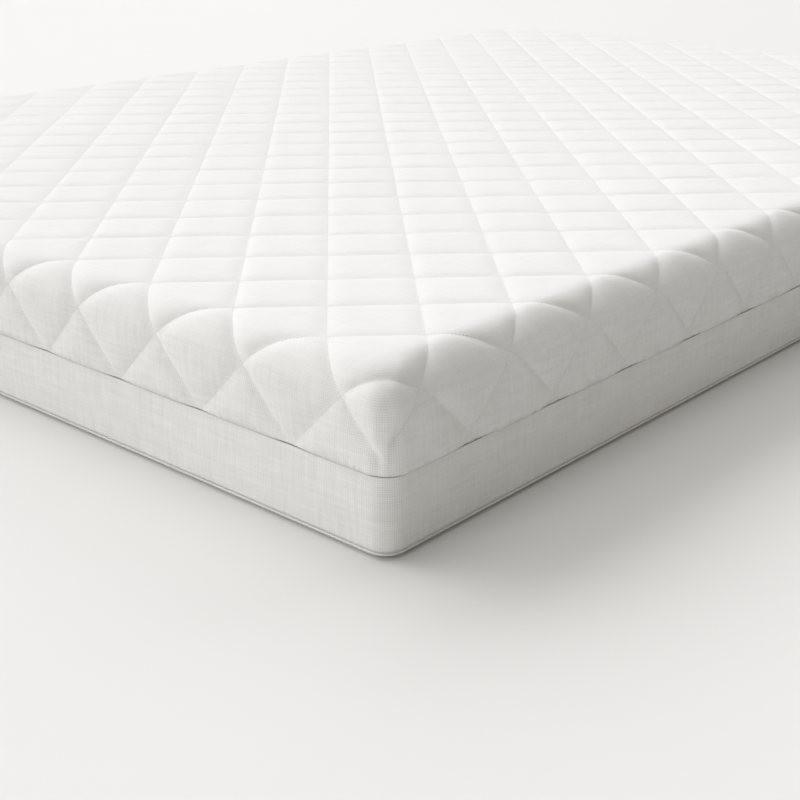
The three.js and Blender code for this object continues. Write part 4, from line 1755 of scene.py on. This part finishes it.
@dataclass
class Core:
    """The foam core, in its knitted sleeve."""

    form: Form
    sleeve_depth: float
    core_depth: float
    body: str = "mattress_base"
    sleeve_cloth: float = 0.9 * MM
    sleeve_share: float = 0.93
    slit: Span = (900 * MM, 8 * MM)

    def slab(self, node: str, name: str, finish: Finish, roll: float) -> None:
        """Cut one slab of foam.

        Args:
            node: the slab's node.
            name: the piece's name.
            finish: its foam.
            roll: the radius of its upper edge.
        """
        low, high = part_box(node)
        corner = self.form.corner - self.core_depth
        form = Form(high[0], high[1], high[2], corner, roll, self.form.softening)
        mesh = capped(form, low[2], name, 40 * MM)
        saw = waves(41, 12, 0.5, 0.05)
        form.dress(mesh, lambda u, v, short: 0.15 * MM * (ripple(saw, u, v) - 1))
        bm = bmesh.new()
        bm.from_mesh(mesh)
        rim = [edge for edge in bm.edges if edge.is_boundary]
        foot = bmesh.ops.extrude_edge_only(bm, edges=rim)["geom"]
        verts = [part for part in foot if isinstance(part, bmesh.types.BMVert)]
        shrink = (1 - 2 * MM / form.half_x, 1 - 2 * MM / form.half_y, 1.0)
        bmesh.ops.scale(bm, vec=shrink, verts=verts)
        rim = [edge for edge in bm.edges if edge.is_boundary]
        bmesh.ops.holes_fill(bm, edges=rim, sides=0)
        bmesh.ops.recalc_face_normals(bm, faces=bm.faces)
        bm.to_mesh(mesh)
        bm.free()
        Piece(name, mesh, finish, self.body, nodes=(node,)).place()

    def sleeve(self) -> None:
        """Knit the sleeve: a cap over the core, and a base with the slit it goes on by."""
        low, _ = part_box("inner_sleeve")
        outer = self.form.deeper(self.sleeve_depth)
        meet = low[2] + 5 * MM
        cap = capped(outer, meet, "sleeve_cap", 30 * MM)
        slack = waves(61, 14, 0.3, 0.05)
        outer.dress(cap, lambda u, v, short: 0.2 * MM * (ripple(slack, u, v) - 1))
        under = replace(outer, top=-low[2], roll=5 * MM, softening=0.0)
        drop = under.drop_to(-meet)
        across = lines_across(under.middle_x, under.middle_x + drop, 60 * MM, 5 * MM)
        along = lines_across(under.middle_y, under.middle_y + drop, 60 * MM, 5 * MM)
        half_long, half_wide = self.slit[0] / 2, self.slit[1] / 2
        across = np.unique(np.concatenate([across, [-half_long, half_long]]))
        along = np.unique(np.concatenate([along, [-half_wide, half_wide]]))
        base = lined_grid(across, along, "sleeve_base")
        under.dress(base, 0.0, under=True)
        bm = bmesh.new()
        bm.from_mesh(cap)
        bm.from_mesh(base)
        slit = [
            face
            for face in bm.faces
            if face.calc_center_median().z < low[2] + 1 * MM
            and abs(face.calc_center_median().x) < half_long
            and abs(face.calc_center_median().y) < half_wide
        ]
        bmesh.ops.delete(bm, geom=slit, context="FACES")
        bmesh.ops.remove_doubles(bm, verts=bm.verts, dist=0.4 * MM)
        mesh = as_mesh(bm, "knitted_sleeve")
        finish, node = Finish.SLEEVE_KNIT, "inner_sleeve"
        piece = soft("knitted_sleeve", mesh, finish, self.body, node, thicken(self.sleeve_cloth))
        width = 2 * outer.half_x + 2 * (outer.top - low[2])
        length = 2 * (2 * outer.half_y + outer.top - low[2])
        area = self.sleeve_share * width * length
        pitch, thread = 2.6 * MM, 0.9 * MM
        for height, end in ((outer.top - outer.roll, "upper"), (meet, "lower")):
            name = f"sleeve_{end}_seam"
            sew_round(outer, -0.2 * MM, height, name, self.body, "sleeve_knit", pitch, thread)

    def glue(self) -> None:
        """Finish the two films of adhesive, which keep their own shape."""
        for node in ("upper_adhesive_layer", "lower_adhesive_layer"):
            film = bpy.data.objects[node]
            if not film.material_slots:
                film.data.materials.append(None)
            for held in film.material_slots:
                held.link = "OBJECT"
                held.material = material_of(Finish.ADHESIVE)

    def build(self) -> None:
        """Build the slabs, glue and sleeve."""
        curved = self.form.roll - self.core_depth
        self.slab("memory_foam_slab", "memory_slab", Finish.MEMORY_FOAM, curved)
        self.slab("transition_foam_slab", "transition_slab", Finish.TRANSITION_FOAM, 1 * MM)
        self.slab("support_foam_block", "support_block", Finish.SUPPORT_FOAM, 1 * MM)
        self.glue()
        self.sleeve()


@dataclass
class ZipSlider:
    """The slider and its pull."""

    edge: float = 0.3 * MM
    panel: float = 0.9 * MM

    def pull(self) -> None:
        """Round the pull's edges and sink a panel into its two faces."""
        bm = merged_copy("zip_pull_tab")
        for side in (1, -1):
            faces = [face for face in bm.faces if face.normal.y * side > 0.9]
            bmesh.ops.inset_region(bm, faces=faces, thickness=self.panel, depth=0.0)
            bmesh.ops.inset_region(bm, faces=faces, thickness=0.25 * MM, depth=-0.22 * MM)
        mesh = bare_mesh(bm, "pull_tab")
        softening = [soften(0.15 * MM)]
        nodes = ("zip_pull_tab",)
        Piece("pull_tab", mesh, Finish.ZIP_METAL, "zip_pull", nodes=nodes, modifiers=softening).place()

    def build(self) -> None:
        """Build the slider's body and its pull."""
        softened("zip_slider_body", "slider_body", Finish.ZIP_METAL, "zip_slider", self.edge)
        self.pull()


@dataclass(frozen=True)
class Studio:
    """Floor, light and camera.

    Each lamp has its heading and height in degrees, its strength, and its spread in degrees.
    """

    lamps: dict[str, tuple[float, float, float, float]] = field(
        default_factory=lambda: {
            "key": (175.0, 35.0, 0.7, 35.0),
            "key_right": (195.0, 35.0, 0.74, 35.0),
            "key_left": (155.0, 35.0, 0.77, 35.0),
            "low_left": (136.0, 21.0, 0.62, 35.0),
            "low_front": (215.0, 24.0, 0.45, 35.0),
            "side_fill": (240.0, 33.0, 0.14, 35.0),
            "front_fill": (269.0, 20.0, 0.52, 40.0),
            "back_fill": (90.0, 28.0, 0.33, 35.0),
            "overhead": (180.0, 70.0, 0.4, 35.0),
            "overhead_behind": (90.0, 70.0, 0.23, 35.0),
        }
    )
    floor_colour: Colour = (0.82, 0.815, 0.8)
    air_colour: Colour = (1.0, 0.955, 0.87)
    backdrop_colour: Colour = (0.93, 0.925, 0.91)
    sun_colour: Colour = (0.99, 1.0, 1.02)
    camera_place: Colour = (1.335, -1.7098, 0.5229)
    heading: float = 131.25
    pitch: float = -21.76
    roll: float = 0.314
    lens: float = 60.48

    def floor(self) -> None:
        """Lay a pale floor."""
        bm = bmesh.new()
        bmesh.ops.create_grid(bm, x_segments=2, y_segments=2, size=30.0)
        mesh = as_mesh(bm, "floor")
        made = bpy.data.objects.new("floor", mesh)
        bpy.context.scene.collection.objects.link(made)
        shader = Shader("floor")
        cloud = shader.noise(0.8)
        tint = shader.blend(cloud, tuple(0.97 * c for c in self.floor_colour), self.floor_colour)
        shader.dress(Base_Color=tint, Roughness=0.75, Specular_IOR_Level=0.15)
        mesh.materials.append(shader.material)

    def room(self) -> None:
        """Surround the scene with dim light, paler at the horizon, and show it near white."""
        world = bpy.data.worlds.new("studio")
        bpy.context.scene.world = world
        world.use_nodes = True
        graph = Graph(world.node_tree)
        ahead = graph.node("ShaderNodeTexCoord", {}, []).outputs["Generated"]
        height = graph.node("ShaderNodeSeparateXYZ", {}, [ahead]).outputs["Z"]
        levels = {"Value": height, "From Max": 0.3, "To Min": 0.5, "To Max": 0.23}
        fade = graph.node("ShaderNodeMapRange", {"interpolation_type": "SMOOTHSTEP"}, levels)
        lit = world.node_tree.nodes["Background"]
        graph.feed(lit.inputs["Color"], self.air_colour)
        graph.feed(lit.inputs["Strength"], fade.outputs[0])
        sockets = {"Color": self.backdrop_colour, "Strength": 0.9}
        seen = graph.node("ShaderNodeBackground", {}, sockets)
        direct = graph.node("ShaderNodeLightPath", {}, []).outputs["Is Camera Ray"]
        worlds = [direct, lit.outputs[0], seen.outputs[0]]
        choice = graph.node("ShaderNodeMixShader", {}, worlds)
        graph.feed(world.node_tree.nodes["World Output"].inputs["Surface"], choice.outputs[0])

    def lights(self) -> None:
        """Light from the left through a broad soft key, with low fills in front and behind."""
        for name, (heading, height, strength, spread) in self.lamps.items():
            sun = bpy.data.lights.new(name, "SUN")
            sun.energy = strength
            sun.angle = math.radians(spread)
            sun.color = self.sun_colour
            lamp = bpy.data.objects.new(name, sun)
            turn, rise = math.radians(heading), math.radians(height)
            toward = Vector(
                (math.cos(turn) * math.cos(rise), math.sin(turn) * math.cos(rise), math.sin(rise))
            )
            lamp.rotation_euler = toward.to_track_quat("Z", "Y").to_euler()
            bpy.context.scene.collection.objects.link(lamp)

    def camera(self) -> None:
        """Stand the camera off the near corner."""
        data = bpy.data.cameras.new("camera")
        data.lens = self.lens
        data.sensor_width = 36.0
        data.clip_end = 100.0
        camera = bpy.data.objects.new("camera", data)
        yaw, pitch = math.radians(self.heading), math.radians(self.pitch)
        ahead = Vector(
            (math.cos(yaw) * math.cos(pitch), math.sin(yaw) * math.cos(pitch), math.sin(pitch))
        )
        turn = ahead.to_track_quat("-Z", "Y").to_matrix()
        camera.matrix_world = Matrix.Translation(self.camera_place) @ (
            turn @ Matrix.Rotation(math.radians(self.roll), 3, "Z")
        ).to_4x4()
        bpy.context.scene.collection.objects.link(camera)
        bpy.context.scene.camera = camera

    def build(self) -> None:
        """Set the studio up."""
        self.camera()
        self.floor()
        self.room()
        self.lights()
        bpy.context.scene.view_settings.view_transform = "Standard"


def main() -> None:
    """Build every sub-assembly and report each piece."""
    logging.basicConfig(level=logging.INFO, format="%(message)s")
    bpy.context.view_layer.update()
    cover_low, cover_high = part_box("top_quilted_ticking")
    wadding_low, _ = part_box("top_wadding")
    _, scrim_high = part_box("top_backing_scrim")
    sleeve_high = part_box("inner_sleeve")[1]
    core_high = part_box("memory_foam_slab")[1]
    border_low, border_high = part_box("lower_border_ticking")
    padding_low, padding_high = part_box("lower_border_padding")
    binding_low, binding_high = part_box("bottom_edge_binding")
    tape_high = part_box("upper_zip_tape")[1]
    tape_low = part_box("lower_zip_tape")[0]
    stop_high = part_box("lower_zip_end_stop")[1]
    retainer_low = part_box("zip_retainer_box")[0]
    form = Form(cover_high[0], cover_high[1], cover_high[2])
    Studio().build()
    gap = 0.3 * MM
    QuiltedCover(
        form, Lattice(), cover_low[2] - gap, wadding_low[2], cover_high[2] - scrim_high[2]
    ).build()
    LowerCover(
        form,
        border_high[2],
        border_low[2],
        (binding_low[2], binding_high[2]),
        (padding_low[2], padding_high[2]),
        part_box("bottom_panel")[1][2],
    ).build()
    Core(form, cover_high[2] - sleeve_high[2], cover_high[2] - core_high[2]).build()
    opening = (stop_high[0] + gap, retainer_low[0] - gap)
    ZipChain(form, "lower", "mattress_base", border_high[2], tape_low[2], *opening).build()
    ZipChain(form, "upper", "top_cover", cover_low[2], tape_high[2], *opening).build()
    ZipSlider().build()
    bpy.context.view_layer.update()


if __name__ == "__main__":
    main()
